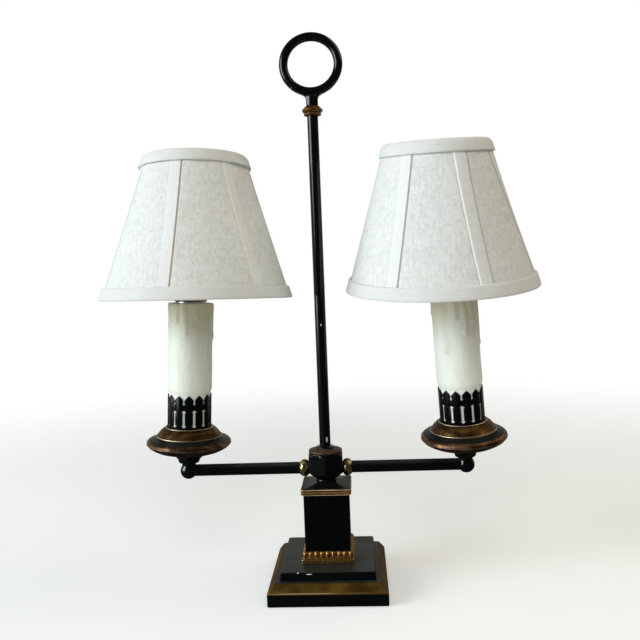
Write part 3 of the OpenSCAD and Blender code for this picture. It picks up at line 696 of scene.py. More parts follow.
def smoothTape(plan):  # the folded trims' closer cloth
    look = tapeLook
    place = plan.add("ShaderNodeUVMap", {"uv_map": "weave"})
    warp, weft = weave(plan, place, 900.0, 0.25)
    over = overUnder(plan, place, 1700.0)
    patch = plan.grain(42, 4)
    shade = plan.step(warp * 0.5 + weft * 0.5 + patch * 0.4, 0.45, 0.95)
    colour = plan.blend(shade, look["dark"], look["light"])
    ragged = plan.grain(800) * 0.8
    return {
        "Base Color": plan.stained(colour, look["marks"], ragged, 1.35, 1.1),
        "Roughness": 0.85 + over * 0.08,
        "Sheen Weight": 0.1,
        "Specular IOR Level": 0.2,
        "Normal": plan.relief(over * 0.25 + warp + weft + patch, look["relief"]),
    }


def paperLining(plan, light=(0.86, 0.855, 0.83), dull=(0.80, 0.79, 0.75)):
    patch, fine = plan.grain(40, 4), plan.grain(1800)
    return {
        "Base Color": plan.blend(patch, light, dull),
        "Roughness": 0.75 + fine * 0.15,
        "Normal": plan.relief(fine, 0.0001),
    }


finishes = {
    "black_lacquer": finish("lacquer", blackLacquer),
    "old_gilding": finish(
        "beadGilding", gilding, dark=(0.24, 0.085, 0.02), age=0.75, rubAt=0.98,
        gloss=0.2, size=700,
    ),
    "copper_gilt": finish(
        "copperGilding", gilding, bright=(0.36, 0.19, 0.05), dark=(0.19, 0.085, 0.016),
        rubbed=(0.78, 0.52, 0.30), size=160, rubAt=1.02, gloss=0.34,
    ),
    # its rubbed beads under the rim give bright lines: partly wear, partly painted highlight
    "aged_bronze": finish(
        "panBronze", gilding, bright=(0.38, 0.19, 0.085), dark=(0.06, 0.03, 0.018),
        rubbed=(0.90, 0.62, 0.46), gloss=0.28, age=0.6, size=110, rubAt=0.78,
    ),
    "polished_brass": finish("collarBrass", turnedBrass),
    "plain_brass": finish("pipeBrass", turnedBrass, gloss=0.28),
    "zinc_steel": finish("zinc", platedSteel),
    "cast_weight": finish("ballastIron", castIron),
    "bushing_rubber": finish("bushingRubber", moulded, colour=(0.02, 0.02, 0.02), gloss=0.6),
    "socket_plastic": finish("socketPhenolic", moulded),
    "candle_wax": finish("wax", candleWax),
    "cap_aluminium": finish("lampCapMetal", platedSteel, colour=(0.72, 0.72, 0.73), gloss=0.2),
    "bulb_plastic": finish(
        "bulbCollar", moulded, colour=(0.70, 0.66, 0.52), gloss=0.4, dust=(0.5, 0.45, 0.35),
    ),
    "frosted_glass": finish("frostedGlass", frostedBulb),
    "shade_wire": finish("shadeWire", platedSteel, colour=(0.6, 0.57, 0.5), gloss=0.3),
    "shade_linen": finish("slubLinen", slubLinen),
    "trim_linen": finish("trimTape", smoothTape),
    "green_felt": finish("felt", pressedFelt),
}
unworn = 9  # an edge sharpness that no edge has
lining = finish("shadeLining", paperLining)
# a lighter copy of the wax for the right candle: partly whiter wax, partly painted light
paleAndLitWax = finish(
    "paleAndLitWax", candleWax, cream=(0.93, 0.935, 0.83), chalk=(0.95, 0.95, 0.91),
)
plainBlack = finish(
    "flatLacquer", blackLacquer, wornAt=unworn, gloss=0.28, dusty=0.1, shine=0.18,
)
coveBlack = finish(
    "coveLacquer", blackLacquer, wornAt=unworn, gloss=0.3, dusty=0.1, shine=0.15,
)
columnBlack = finish("columnLacquer", blackLacquer, shine=0.05, wornAt=1.66)
tierBlack = finish(
    "tierLacquer", blackLacquer, shine=0.3, dusty=0.38, gloss=0.2, chip=(0.8, 0.78, 0.74),
    chips=(
        ((-24.0, -39.2, 23.4), (0.9, 1.2, 0.45)),
        ((-14.9, -39.3, 22.3), (3.0, 1.2, 0.35)),
    ),
)
rodBlack = finish(
    "rodLacquer", blackLacquer,
    chips=(
        ((0.6, -4.7, 221.3), (0.8, 1.5, 1.0)),
        ((1.9, -4.4, 122.9), (0.9, 1.5, 2.6)),
    ),
)
hubBlack = finish(
    "hubLacquer", blackLacquer, shine=0.2, dusty=0.1, chip=(0.25, 0.26, 0.25),
    # its one mark is a painted glint on the hub's front edge
    chips=(((-4.3, -14.6, 110.4), (0.6, 2.0, 0.6)),),
)
elbowBlack = finish("elbowLacquer", blackLacquer, shine=0.6, gloss=0.1, dusty=0.06)
roofBlack = finish(
    "roofLacquer", blackLacquer, shine=0.05, dusty=0.08, wornAt=unworn, gloss=0.16,
)
capGilt = finish(
    "capGilding", gilding, bright=(0.46, 0.27, 0.09), dark=(0.24, 0.12, 0.026),
    rubbed=(0.95, 0.70, 0.42), metal=0.5, gloss=0.34, size=160, rubAt=0.82,
)
discBronze = finish(
    "discBronze", gilding, bright=(0.27, 0.19, 0.12), dark=(0.12, 0.07, 0.04),
    rubbed=(0.5, 0.42, 0.3), metal=0.6, gloss=0.38, size=160, rubAt=1.3,
)
# painted shade: the dark band round the bulb collar's foot
collarShadow = finish(
    "paintedCollarShadow", moulded, colour=(0.09, 0.05, 0.03), gloss=0.45, dust=(0.2, 0.14, 0.1),
)
tierGold = finish(
    "tierGilding", gilding, bright=(0.18, 0.10, 0.010), dark=(0.085, 0.04, 0.003),
    rubbed=(0.55, 0.42, 0.24), metal=0.75, gloss=0.4, age=0.7, size=60, rubAt=1.06,
    marks=(
        ((1.9, -46.4, 13.5), (0.45, 3.0, 3.6), (0.05, 0.02, 0.004), 0.5),
        ((-39.5, -45.6, 14.8), (4.0, 2.0, 1.6), (0.10, 0.03, 0.008), 0.6),
        ((-18.0, -48.2, 10.9), (32.0, 1.0, 0.42), (0.62, 0.46, 0.26), 0.8),
        ((24.0, -48.2, 10.9), (10.0, 1.0, 0.32), (0.5, 0.38, 0.22), 0.5),
        # painted shade: the right half of the front bevel darkened
        ((26.0, -46.4, 13.5), (20.0, 3.0, 4.0), (0.06, 0.024, 0.002), 0.55),
    ),
)
# bright lines at its ridge and at the gallery's foot: partly rubbed gilding, partly painted highlight
domeGold = finish(
    "domeGilding", gilding, bright=(0.28, 0.135, 0.035), dark=(0.05, 0.02, 0.006),
    rubbed=(1.0, 0.82, 0.52), age=0.6, size=80, stretch=(1, 1, 2.5), rubAt=0.66,
)
for part in frame["record"]["subparts"]:  # every node gets its own slot's finish
    mesh = nodes[part["node"]].data
    mesh.materials.clear()
    mesh.materials.append(finishes[part["material_slot"]])
print("finishes mixed:", len(bpy.data.materials))


# Foot: two square tiers.

footLook = {
    "edge": 0.55,
    "corner": 1.6,
    "bevelEdge": 0.7,
    "feltGap": 0.4,  # round the felt, in mm
    "feltUp": 0.3,
    "weightGap": 0.3,
    "bushingGap": 0.4,
    "drillReach": 6,
}
skinDeep = 0.05  # points this near a face lie on it, in mm


def drilled(piece, hole, height, half):  # the inlet's hole through the back wall
    reach = footLook["drillReach"]
    line = [(0, half - reach), (hole, half - reach), (hole, half + reach), (0, half + reach)]
    place = Matrix.Translation((0, 0, height * mm))
    place = place @ Matrix.Rotation(math.radians(-90), 4, "X")
    black = [finishes["black_lacquer"]]
    drill = turned("inletCutter", line, place, black, slices=40, closed=False)
    cut = piece.modifiers.new("inletHole", "BOOLEAN")
    cut.object, cut.operation, cut.solver = drill, "DIFFERENCE", "EXACT"
    settle(piece)
    bpy.data.objects.remove(drill)
    return piece


def footTiers():
    look = footLook
    low, high = measure("lower_tier")
    half, deck = high.x, high.z
    upperLow, upperHigh = measure("upper_tier")
    bandTop = topWhere("lower_tier", lambda p: p.x > half - skinDeep)
    deckHalf = sideWhere("lower_tier", lambda p: p.z > deck - skinDeep)
    felt, weight = measure("felt_pad")[1], measure("ballast_weight")[1]
    feltSide, feltTop = felt.x + look["feltGap"], felt.z + look["feltUp"]
    weightSide = weight.x + look["weightGap"]
    line = eased([
        (0, weight.z),
        (weightSide, weight.z, 0.3),
        (weightSide, feltTop),
        (feltSide, feltTop),
        (feltSide, low.z, 0.3),
        (half, low.z, look["edge"]),
        (half, bandTop, look["edge"]),
        (deckHalf, deck, look["bevelEdge"]),
        (0, deck),
    ])

    def gilt(start, end):  # the bevel is gilded up to the upper tier
        return int(start[1] > bandTop - 0.35 and end[0] > upperHigh.x + 0.2)

    lacquers, corner = [tierBlack, tierGold], look["corner"]
    tier = squared("lowerTier", line, lacquers, corner, closed=False, paint=gilt)
    inletLow, inletHigh = measure("cord_bushing")
    hole = (inletHigh.x - inletLow.x) / 2 - look["bushingGap"]
    drilled(tier, hole, (inletLow.z + inletHigh.z) / 2, half)
    wear(tier, "base", "black_lacquer", "lower_tier")
    topHalf = sideWhere("upper_tier", lambda p: p.z > upperHigh.z - skinDeep)
    line = eased([
        (0, upperLow.z),
        (upperHigh.x, upperLow.z, 0.25),
        (topHalf, upperHigh.z, look["edge"]),
        (0, upperHigh.z),
    ])
    upper = squared("upperTier", line, [tierBlack], corner, closed=False)
    wear(upper, "base", "black_lacquer", "upper_tier")


footTiers()


# Gadroon beads, set round the column's foot on a flat lip.

beadLook = {"beads": 9, "round": 2.36, "foot": 1.5, "swell": 0.62, "slices": 20, "steps": 12}


def newTree(name, made, **wanted):  # a node group with named inputs and one output
    tree = bpy.data.node_groups.new(name, "GeometryNodeTree")
    for label, kind in wanted.items():
        tree.interface.new_socket(label, in_out="INPUT", socket_type="NodeSocket" + kind)
    tree.interface.new_socket(made, in_out="OUTPUT", socket_type="NodeSocketGeometry")
    plan = Plan(tree)
    given = plan.add("NodeGroupInput").socket.node
    return plan, {s.name: Plug(plan, s) for s in given.outputs if s.name}


def setOut(plan, points, piece, **how):  # a copy of a piece at each point
    inputs = {"Points": points, "Instance": piece, **how}
    return plan.add("GeometryNodeInstanceOnPoints", None, inputs)


def pointsFor(plan, count, start=(0, 0, 0), pitch=(0, 0, 0)):
    inputs = {"Count": count, "Start Location": start, "Offset": pitch}
    return plan.add("GeometryNodeMeshLine", {"mode": "OFFSET"}, inputs)


def closeTree(plan, copies, finish, weld=None):
    solid = plan.add("GeometryNodeRealizeInstances", None, {"Geometry": copies})
    if weld:
        inputs = {"Geometry": solid, "Distance": weld}
        solid = plan.add("GeometryNodeMergeByDistance", None, inputs)
    inputs = {"Geometry": solid, "Material": finish}
    dressed = plan.add("GeometryNodeSetMaterial", None, inputs)
    plan.add("NodeGroupOutput", None, {0: dressed})
    return plan.tree


def roundSquareTree():  # copies one bead along four sides of a square
    plan, wired = newTree(
        "beadsRoundSquare", "Beads", Bead="Geometry", PerSide="Int", Half="Float",
        Height="Float", Finish="Material",
    )
    half, perSide = wired["Half"], wired["PerSide"]
    corner = {0: half * -1, 1: half * -1, 2: wired["Height"]}
    start = plan.add("ShaderNodeCombineXYZ", None, corner)
    pitch = plan.add("ShaderNodeCombineXYZ", None, {0: half * 2 / perSide})
    uneven = {2: 0.955, 3: 1.0, "Seed": 4}
    size = plan.add("FunctionNodeRandomValue", {"data_type": "FLOAT"}, uneven, out=1)
    side = setOut(plan, pointsFor(plan, perSide, start, pitch), wired["Bead"], Scale=size)
    quarter = plan.add("GeometryNodeInputIndex") * (math.pi / 2)
    turn = plan.add("ShaderNodeCombineXYZ", None, {2: quarter})
    square = setOut(plan, pointsFor(plan, 4), side, Rotation=turn)
    return closeTree(plan, square, wired["Finish"])


def runTree(piece, tree, **given):
    modifier = piece.modifiers.new(tree.name, "NODES")
    modifier.node_group = tree
    for item in tree.interface.items_tree:
        if item.in_out == "INPUT" and item.name in given:
            modifier[item.identifier] = given[item.name]
    return settle(piece)


def beadLine(tall):  # an egg: narrow foot, full shoulder, round head
    look = beadLook
    line = [(0, 0)]
    for k in range(look["steps"]):
        t = k / look["steps"]
        rise = math.sin(min(1, t / look["swell"]) * math.pi / 2)
        full = between(look["foot"], look["round"], rise)
        past = max(0, (t - look["swell"]) / (1 - look["swell"]))
        line.append((full * math.sqrt(1 - past ** 2), tall * t))
    return line + [(0, tall)]


def footMoulding():
    look, gold = beadLook, [finishes["old_gilding"]]
    low, high = measure("bead_moulding")
    inner = measure("column")[1].x + 0.15
    lipTop = topWhere("bead_moulding", lambda p: p.x > high.x - skinDeep)
    beadReach = sideWhere("bead_moulding", lambda p: lipTop + 0.5 < p.z < high.z - 1)
    lip = eased([
        (inner, low.z),
        (high.x, low.z, 0.5),
        (high.x, lipTop, 0.7),
        (beadReach - 0.6, lipTop + 0.05, 0.2),
        (inner + 0.25, high.z - 0.9, 0.3),
        (inner, high.z - 0.9),
    ])
    wear(squared("mouldingLip", lip, gold, 0.7), "base", "old_gilding")
    tall, centre = high.z - lipTop, beadReach - look["round"]
    bead = turned("gadroonBeads", beadLine(tall), Matrix(), gold, look["slices"], closed=False)
    given = {"PerSide": look["beads"] - 1, "Half": centre * mm, "Height": lipTop * mm}
    runTree(bead, roundSquareTree(), Finish=gold[0], **given)
    for vert, edge in zip(bead.data.vertices, bead.data.attributes["edge"].data):
        out = (max(abs(vert.co.x), abs(vert.co.y)) / mm - centre) / look["round"]
        up = (vert.co.z / mm - lipTop) / tall
        edge.value = -0.6  # painted shade in the recesses; the crowns rubbed bright, partly wear and partly painted highlight
        if out > -0.2 or up > 0.85:
            edge.value = 0.95 * max(out, up * 0.85) - 0.7 * (1 - up) ** 3
    wear(smoothed(bead, 60), "base", "old_gilding", "bead_moulding")


footMoulding()


# Column, cap and the small turned rings between column and hub.

columnLook = {
    "wall": 1.8,
    "edge": 0.35,
    "corner": 0.8,
    "roofStep": 0.5,
    "capBead": 0.45,
    "capCorner": 2.2,
    "roofIn": 2.2,
}
bores = {  # radius of the hole up each piece's middle, in mm
    "cap": 4.9,
    "neckRing": 4.9,
    "disc": 4.85,
    "rod": 3.1,
    "finialCollar": 3.2,
    "arm": 3.5,
    "armCollar": 5.05,
    "pan": 4.9,
}


def columnAndCap():
    look = columnLook
    low, high = measure("column")
    inner = high.x - look["wall"]
    line = eased([
        (inner, low.z),
        (high.x, low.z, 0.2),
        (high.x, high.z, look["edge"]),
        (inner, high.z),
    ])
    column = squared("columnSides", line, [columnBlack], look["corner"])
    wear(column, "base", "black_lacquer", "column")
    capTop = measure("column_cap")[1]
    half, under, bore = capTop.x, high.z, bores["cap"]
    edge = topWhere("column_cap", lambda p: p.x > half - 1.2)
    neck = measure("neck_ring")[1].x - 1
    r, thick = look["capBead"], edge - under + 0.3
    start, eaves = half - look["roofIn"], edge + look["roofStep"] * 0.6
    line = [(bore, under), (high.x - 1, under)]
    line += arcOf((half - r, under + r), r, -90, 40, 5)
    line.append((half - 0.28, under + thick / 2))
    line += arcOf((half - r, under + thick - r), r, -40, 110, 6)
    line.append((start, edge + 0.1))
    for k in range(11):  # the hollow-curved roof
        line.append((between(start, neck, k / 10), between(eaves, capTop.z, (k / 10) ** 2)))
    line.append((bore, capTop.z))

    def roofed(start, end):
        return int(max(start[1], end[1]) > edge + 0.05 and min(start[0], end[0]) < half - 1.2)

    cap = squared("columnCap", line, [capGilt, roofBlack], look["capCorner"], paint=roofed)
    wear(cap, "base", "black_lacquer", "column_cap")


def rodFoot():  # a shallow domed disc with the rod's thin flange on it
    low, high = measure("hub_disc")
    flange, bore = measure("rod_foot_ring")[1], bores["disc"]
    reach, seat = flange.x, flange.z - 1.5
    line = [
        (bore, low.z),
        (high.x, low.z, 0.6),
        (high.x, high.z - 0.2, 0.7),
        (reach + 1.5, (high.z + seat) / 2 + 0.3, 2.5),
        (reach - 0.8, seat + 0.1, 1.0),
        (bore, seat + 0.1),
    ]
    disc = turned("hubDisc", eased(line, closed=True), Matrix(), [discBronze])
    wear(disc, "mast", "aged_bronze", "hub_disc")
    line = [
        (bore, seat),
        (reach - 0.7, seat, 0.3),
        (reach, seat + 0.7, 0.5),
        (reach - 0.5, flange.z - 0.3, 0.5),
        (6.2, flange.z - 0.1, 0.6),
        (bore, flange.z + 0.3),
    ]
    ring = turned("rodFootRing", eased(line, closed=True), Matrix(), [elbowBlack])
    wear(ring, "mast", "black_lacquer", "rod_foot_ring")


def neckRing():
    line = tubeLine("neck_ring", Matrix(), bores["neckRing"], 1.1)
    ring = turned("neckRing", line, Matrix(), [finishes["black_lacquer"]])
    wear(ring, "base", "black_lacquer", "neck_ring")


columnAndCap()
neckRing()
rodFoot()
hub = forged("hexHub", "hub_body", [hubBlack], 0.42, 3)
wear(hub, "mast", "black_lacquer", "hub_body")
print("foot, column and hub dressed")


# Rod, collar and ring.


def alongPiece(low, high, bore, shares):
    # a turned section, from shares of the full radius and of the length
    full, tall = high.x, high.z - low.z
    line = [(full * out, low.z + tall * up, soft) for out, up, soft in shares]
    return eased([(bore, low.z)] + line + [(bore, high.z)], closed=True)


def rodAndRing():
    line = tubeLine("centre_rod", Matrix(), bores["rod"], 0.3)
    rod = turned("centreRod", line, Matrix(), [rodBlack], 64)
    wear(rod, "mast", "black_lacquer", "centre_rod")
    low, high = measure("finial_collar")
    under = 1 - 0.1 / (high.z - low.z)  # just below the top
    shares = [
        (0.58, 0, 0.3),
        (0.82, 0.1, 0.4),
        (0.80, 0.2, 0.3),
        (0.72, 0.26, 0.3),
        (0.84, 0.36, 0.5),
        (1, 0.58, 1.3),
        (0.80, 0.82, 0.8),
        (0.64, under, 0.4),
    ]
    line = alongPiece(low, high, bores["finialCollar"], shares)
    collar = turned("finialCollar", line, Matrix(), [finishes["copper_gilt"]])
    wear(collar, "mast", "copper_gilt", "finial_collar")
    ring = forged("ringFinial", "ring_finial", [finishes["black_lacquer"]], 0.55, 14)
    wear(ring, "ring", "black_lacquer", "ring_finial")


rodAndRing()


# Arms, elbows and brass collars.


def armPieces(side):
    turn = Matrix.Rotation(sides[side] * math.pi / 2, 4, "Y")
    height = joints[side + "_arm_turn"]["pos_m"][2]
    along = Matrix.Translation((0, 0, height)) @ turn
    line = tubeLine(side + "_arm_tube", along, bores["arm"], 0.3)
    tube = turned(side + "ArmTube", line, along, [finishes["black_lacquer"]], 64)
    wear(tube, side + "_arm", "black_lacquer", side + "_arm_tube")
    low, high = measure(side + "_arm_collar", along)
    under = 1 - 0.1 / (high.z - low.z)
    shares = [
        (0.66, 0, 0.2),
        (0.66, 0.07, 0.2),
        (0.80, 0.1, 0.4),
        (0.97, 0.3, 1.6),
        (1.0, 0.55, 2.0),
        (0.94, 0.8, 1.6),
        (0.74, under, 0.9),
    ]
    line = alongPiece(low, high, bores["armCollar"], shares)
    collar = turned(side + "ArmCollar", line, along, [finishes["polished_brass"]])
    wear(collar, "mast", "polished_brass", side + "_arm_collar")
    place, node = lampAxes[side], side + "_ball_elbow"
    top = measure(node, place)[1].z
    wide = reachAt(node, place, top)
    spread = [(-0.2, 5), (0.05, 3.6), (0.6, 2.2), (1.5, 1.1), (2.8, 0)]  # out, below the top
    line = [(0, top - 5)] + [(wide + out, top - down) for out, down in spread] + [(0, top)]
    flare = turned(side + "Flare", line, place, [elbowBlack], 48, closed=False)
    elbow = forged(side + "Elbow", node, [elbowBlack], 0.4, 6, flare)
    wear(elbow, side + "_arm", "black_lacquer", node)


# Drip pans, with the gallery's pickets round each candle.

panLook = {
    "neck": 9.0,
    "shoulder": 4.3,  # in from the rim, and up from its tip
    "bronzeRim": 2.0,
    "domeTop": 0.9,
    "bow": 1.6,  # how soon the dome's bell rises
    "sheet": 1.2,  # the pan's own thickness
    "slices": 128,
    "beads": (  # in from the rim, half width and height
        (2.2, 0.9, 0.6),
        (5.2, 0.8, 0.5),
        (8.2, 0.8, 0.35),
    ),
}


def dishPiece(side, ridge):
    look, place, node = panLook, lampAxes[side], side + "_drip_dish"
    low, high = measure(node, place)
    reach = max(fromAxis(p) for p in pointsIn(node, place))
    rimUp = topWhere(node, lambda p: fromAxis(p) > high.x - 0.4, place)
    tip, sheet, bore = rimUp - 0.6, look["sheet"], bores["pan"]
    shoulder = (reach - look["shoulder"], tip + look["shoulder"])
    line = [(bore, low.z)]
    for k in range(89):  # the belly, which stops short of the rim
        t = k / 96
        across = between(look["neck"], reach, t)
        rise = 0.18 * (1 - math.exp(-t / 0.05)) + 0.82 * (0.3 * t + 0.7 * t**3)
        up = between(low.z, rimUp - 0.9, rise)
        for middle, wide, proud in look["beads"]:  # fine turned beads under the rim
            up -= proud * max(0, 1 - ((reach - across - middle) / wide) ** 2)
        line.append((across, up))
    line += arcOf((reach - 0.5, tip), 0.5, -70, 25, 5)
    for k in range(1, 10):  # the rim's rounded face, up to its shoulder
        out, up = onCircle(1, math.radians(20 + 62 * k / 9))
        out = out * 1.06 - 0.14 * k / 9
        line.append((between(shoulder[0], reach, out), between(tip, shoulder[1], up)))
    line.append(shoulder)
    for k in range(1, 11):  # the shallow hollow between the shoulder and the dome
        t = k / 10
        up = between(shoulder[1], high.z - 0.35, 0.35 * t + 0.65 * t * t)
        line.append((between(shoulder[0], ridge, t), up))
    line += [(ridge - 0.6, high.z), (ridge - 1.6, high.z)]
    line += [(ridge - 1.6, rimUp + sheet), (bore, low.z + sheet)]

    def black(start, end):  # the cove is black between the bronze rim and the dome
        inside = end[0] > ridge - 0.3 and start[0] < reach - look["bronzeRim"]
        return int(inside and min(start[1], end[1]) > tip)

    coats = [finishes["aged_bronze"], coveBlack]
    dish = turned(side + "DripDish", line, place, coats, look["slices"], paint=black)
    wear(dish, side + "_arm", "aged_bronze", node)


def domePiece(side, ridge):
    look, place, node = panLook, lampAxes[side], side + "_pan_dome"
    low, high = measure(node, place)
    foot = measure(side + "_gallery", place)[0].z
    gallery = reachAt(side + "_gallery", place, foot, 0.5)
    top, sheet, bore = gallery + look["domeTop"], look["sheet"], bores["pan"]
    line = [(ridge - 1.2, low.z)] + arcOf((ridge - 0.35, low.z + 0.6), 0.6, -90, 55, 6)
    for k in range(13):  # a low bell from the ridge up to the gallery's foot
        t = 1 - k / 12
        up = between(low.z + 1.25, high.z - 0.9, 1 - t ** look["bow"])
        line.append((between(top + 0.9, ridge - 0.3, t), up))
    line += arcOf((top + 0.35, high.z - 0.5), 0.5, 20, 90, 4)
    line += [(gallery + 0.5, high.z), (bore, high.z), (bore, high.z - sheet)]
    line += [(gallery, high.z - 1.3), (ridge - 3, low.z + sheet)]
    dome = turned(side + "PanDome", line, place, [domeGold], look["slices"])
    wear(dome, side + "_arm", "old_gilding", node)


def panPieces(side):
    top = measure(side + "_drip_dish", lampAxes[side])[1].z
    ridge = reachAt(side + "_pan_dome", lampAxes[side], top, 0.4)
    dishPiece(side, ridge)
    domePiece(side, ridge)


galleryLook = {
    "pickets": 13,
    "wall": 0.8,
    "edge": 0.16,
    "strip": 1.2,  # the band under the slots
    "slot": 15.4,
    "slotWidth": 2.2,
    "tipWidth": 3.2,
    "tipUp": 2.1,
    "rail": 4.2,
    "head": 7.8,
    "bend": 0.8,  # how far apart the picket is cut to bend, in mm
    "turn": {"left": 18.8, "right": 14.1},
}


def roundAxisTree():  # copies one picket round the gallery
    plan, wired = newTree(
        "picketsRoundAxis", "Pickets", Picket="Geometry", Count="Int", First="Float",
        Finish="Material",
    )
    count = wired["Count"]
    angle = plan.add("GeometryNodeInputIndex") * (2 * math.pi) / count + wired["First"]
    turn = plan.add("ShaderNodeCombineXYZ", None, {2: angle})
    ring = setOut(plan, pointsFor(plan, count), wired["Picket"], Rotation=turn)
    return closeTree(plan, ring, wired["Finish"], weld=0.00002)


picketTree = roundAxisTree()


def picketOutline(half):  # half a picket's outline from its foot up, then its mirror
    look = galleryLook
    slot = look["slotWidth"] / 2
    flank, tip = half - slot, half - slot - look["tipWidth"] / 2
    foot, top = look["strip"], look["strip"] + look["slot"]
    notch = top + look["rail"]
    crown, throat = notch + look["head"], half - slot * 0.62
    right = [
        (half, 0),
        (half, foot),
        (tip, foot + look["tipUp"]),
        (flank, foot + look["tipUp"]),
        (flank, top - look["tipUp"]),
        (tip, top - look["tipUp"]),
        (half, top),
        (half, notch),
    ]
    for angle in range(20, 121, 20):  # the round notch between two heads
        up, out = onCircle(slot, math.radians(angle))
        right.append((half - out, notch + slot - up))
    right += [
        (throat, notch + slot * 1.9),
        (throat, notch + look["head"] * 0.5),
        (throat - 0.5, notch + look["head"] * 0.62),
        (0.45, crown - 0.25),
        (0.15, crown),
    ]
    return right + [(-x, y) for x, y in reversed(right)]


def galleryPiece(side):
    place, look, node = lampAxes[side], galleryLook, side + "_gallery"
    foot = measure(node, place)[0].z
    reach = reachAt(node, place, foot, 0.5)
    half = math.pi * reach / look["pickets"]
    bm = bmesh.new()
    bm.faces.new([bm.verts.new((x, 0, y)) for x, y in picketOutline(half)])
    cuts = int(half * 2 / look["bend"])
    for k in range(1, cuts):
        picketSoFar = bm.verts[:] + bm.edges[:] + bm.faces[:]
        at = (between(-half, half, k / cuts), 0, 0)
        bmesh.ops.bisect_plane(bm, geom=picketSoFar, plane_co=at, plane_no=(1, 0, 0))
    for vert in bm.verts:  # bend the flat picket round the candle
        vert.co = (*onCircle(reach, vert.co.x / reach), vert.co.z + foot)
    bmesh.ops.recalc_face_normals(bm, faces=bm.faces)
    if sum(f.normal.dot(f.calc_center_median()) for f in bm.faces) < 0:
        bmesh.ops.reverse_faces(bm, faces=bm.faces)
    picket = addPiece(side + "Gallery", bm, Matrix(), [plainBlack], closed=False)
    first = math.radians(look["turn"][side] + 180 / look["pickets"])
    runTree(picket, picketTree, Count=look["pickets"], First=first, Finish=plainBlack)
    wall = picket.modifiers.new("wall", "SOLIDIFY")
    wall.thickness, wall.offset = look["wall"] * mm, -1
    ease = picket.modifiers.new("easedEdges", "BEVEL")
    ease.width, ease.segments = look["edge"] * mm, 2
    ease.limit_method, ease.angle_limit = "ANGLE", math.radians(40)
    settle(picket, place)
    markEdges(smoothed(picket, 40), 2600)
    wear(picket, side + "_arm", "black_lacquer", node)


# Candle sleeves: wax poured over a tube, with runs that stop partway down.

waxShape = {
    "out": 1.2,
    "lump": 0.32,
    "flare": 0.45,  # more wax near the top
    "around": 128,
    "rows": 120,
    "rimRound": 1.4,
    "innerRow": 12,  # a row of points this far down the bore
}
waxRuns = {  # angle, share of the height it runs down, half width, thickness
    "left": [
        (-150, 0.5, 2.6, 0.9), (-118, 0.22, 2.2, 1.0), (-92, 0.36, 2.4, 0.8),
        (-62, 0.18, 2.2, 1.1), (-25, 0.74, 1.9, 1.5), (10, 0.4, 2.4, 1.2),
        (55, 0.6, 2.5, 1.1), (95, 0.3, 2.3, 1.2), (140, 0.66, 2.6, 1.0),
        (-178, 0.28, 2.2, 1.1),
    ],
    "right": [
        (-160, 0.3, 2.4, 1.0), (-128, 0.6, 2.3, 1.0), (-100, 0.25, 2.4, 1.1),
        (-74, 0.42, 2.1, 0.9), (-48, 0.3, 2.3, 1.2), (-12, 0.55, 2.5, 1.2),
        (34, 0.35, 2.4, 1.1), (76, 0.7, 2.3, 1.0), (120, 0.4, 2.5, 1.2),
        (158, 0.22, 2.4, 1.1),
    ],
}


def waxSleeve(side):
    place, shape, node = lampAxes[side], waxShape, side + "_candle_sleeve"
    low, high = measure(node, place)
    held = reachAt(node, place, low.z)
    bore = min(fromAxis(p) for p in pointsIn(node, place))
    start = measure(side + "_gallery", place)[1].z + 0.6
    tall = high.z - start
    seed = Vector((sides[side] * 3.1, 1.7, 0.4))

    def lumps(point, share):  # uneven wax, with more of it at the top
        uneven = noise.noise(point) + 0.6 * noise.noise(point * 2.7)
        uneven += 0.35 * noise.noise(point * 6.1)
        rise = max(0, share - 0.82) / 0.18
        flare = shape["flare"] * rise * (0.7 + noise.noise(point * 3.3))
        return shape["lump"] * uneven + flare

    def runAt(turn, up, share):  # the thickest run here
        thickest = 0.0
        for angle, down, width, thick in waxRuns[side]:
            drift = 0.05 * math.sin(share * 9 + angle)
            off = turn - math.radians(angle) - drift
            apart = math.remainder(off, 2 * math.pi) * held
            end = high.z - tall * down
            along = 1 / (1 + math.exp(-(up - end) * 1.6))
            drop = 0.55 * math.exp(-(((up - end - 1.6) / 2.2) ** 2))
            body = thick * (between(0.62, 1, share) * along + drop)
            thickest = max(thickest, body * math.exp(-((apart / width) ** 2)))
        return thickest

    def swell(turn, up):  # extra radius of the wax, and how much of it is a run
        share = (up - start) / tall
        if share <= 0:
            return 0.0, 0.0
        point = Vector((*onCircle(2.1, turn), share * 4)) + seed
        run = runAt(turn, up, share)
        grow = math.sin(min(1, share / 0.06) * math.pi / 2)
        return grow * (shape["out"] + lumps(point, share) * 0.7 + run * 0.75), min(1, run)

    bm = bmesh.new()
    layers = bm.verts.layers.float
    thickLayer, upLayer = layers.new("thick"), layers.new("up")
    loops = []

    def ring(reachFor, up):
        loop = []
        for turn in turnsRound(shape["around"]):
            more, run = swell(turn, min(up, high.z - 0.2))
            vert = bm.verts.new((*onCircle(reachFor(more), turn), up))
            vert[thickLayer], vert[upLayer] = run, max(0, (up - start) / tall)
            loop.append(vert)
        loops.append(loop)

    r, rows = shape["rimRound"], shape["rows"]
    waxed = [start + tall * (k / rows) ** 1.1 for k in range(1, rows)]
    for up in [low.z, low.z + 0.4, start - 0.6, start] + waxed:
        if up < high.z - r:
            ring(lambda more: held + more, up)
    for k in range(1, 8):  # the poured lip, rolled in to the bore
        out, up = onCircle(r, math.pi / 2 * k / 7)
        ring(lambda more, out=out: held + more - r + out, high.z - r + up)
    for up in (high.z - 0.3, high.z - shape["innerRow"], low.z):
        ring(lambda more: bore, up)
    skin(bm, loops, True)
    wax = paleAndLitWax if side == "right" else finishes["candle_wax"]
    sleeve = addPiece(side + "WaxSleeve", bm, place, [wax], sharp=60)
    wear(sleeve, side + "_sleeve", "candle_wax", node)


# Bulbs.


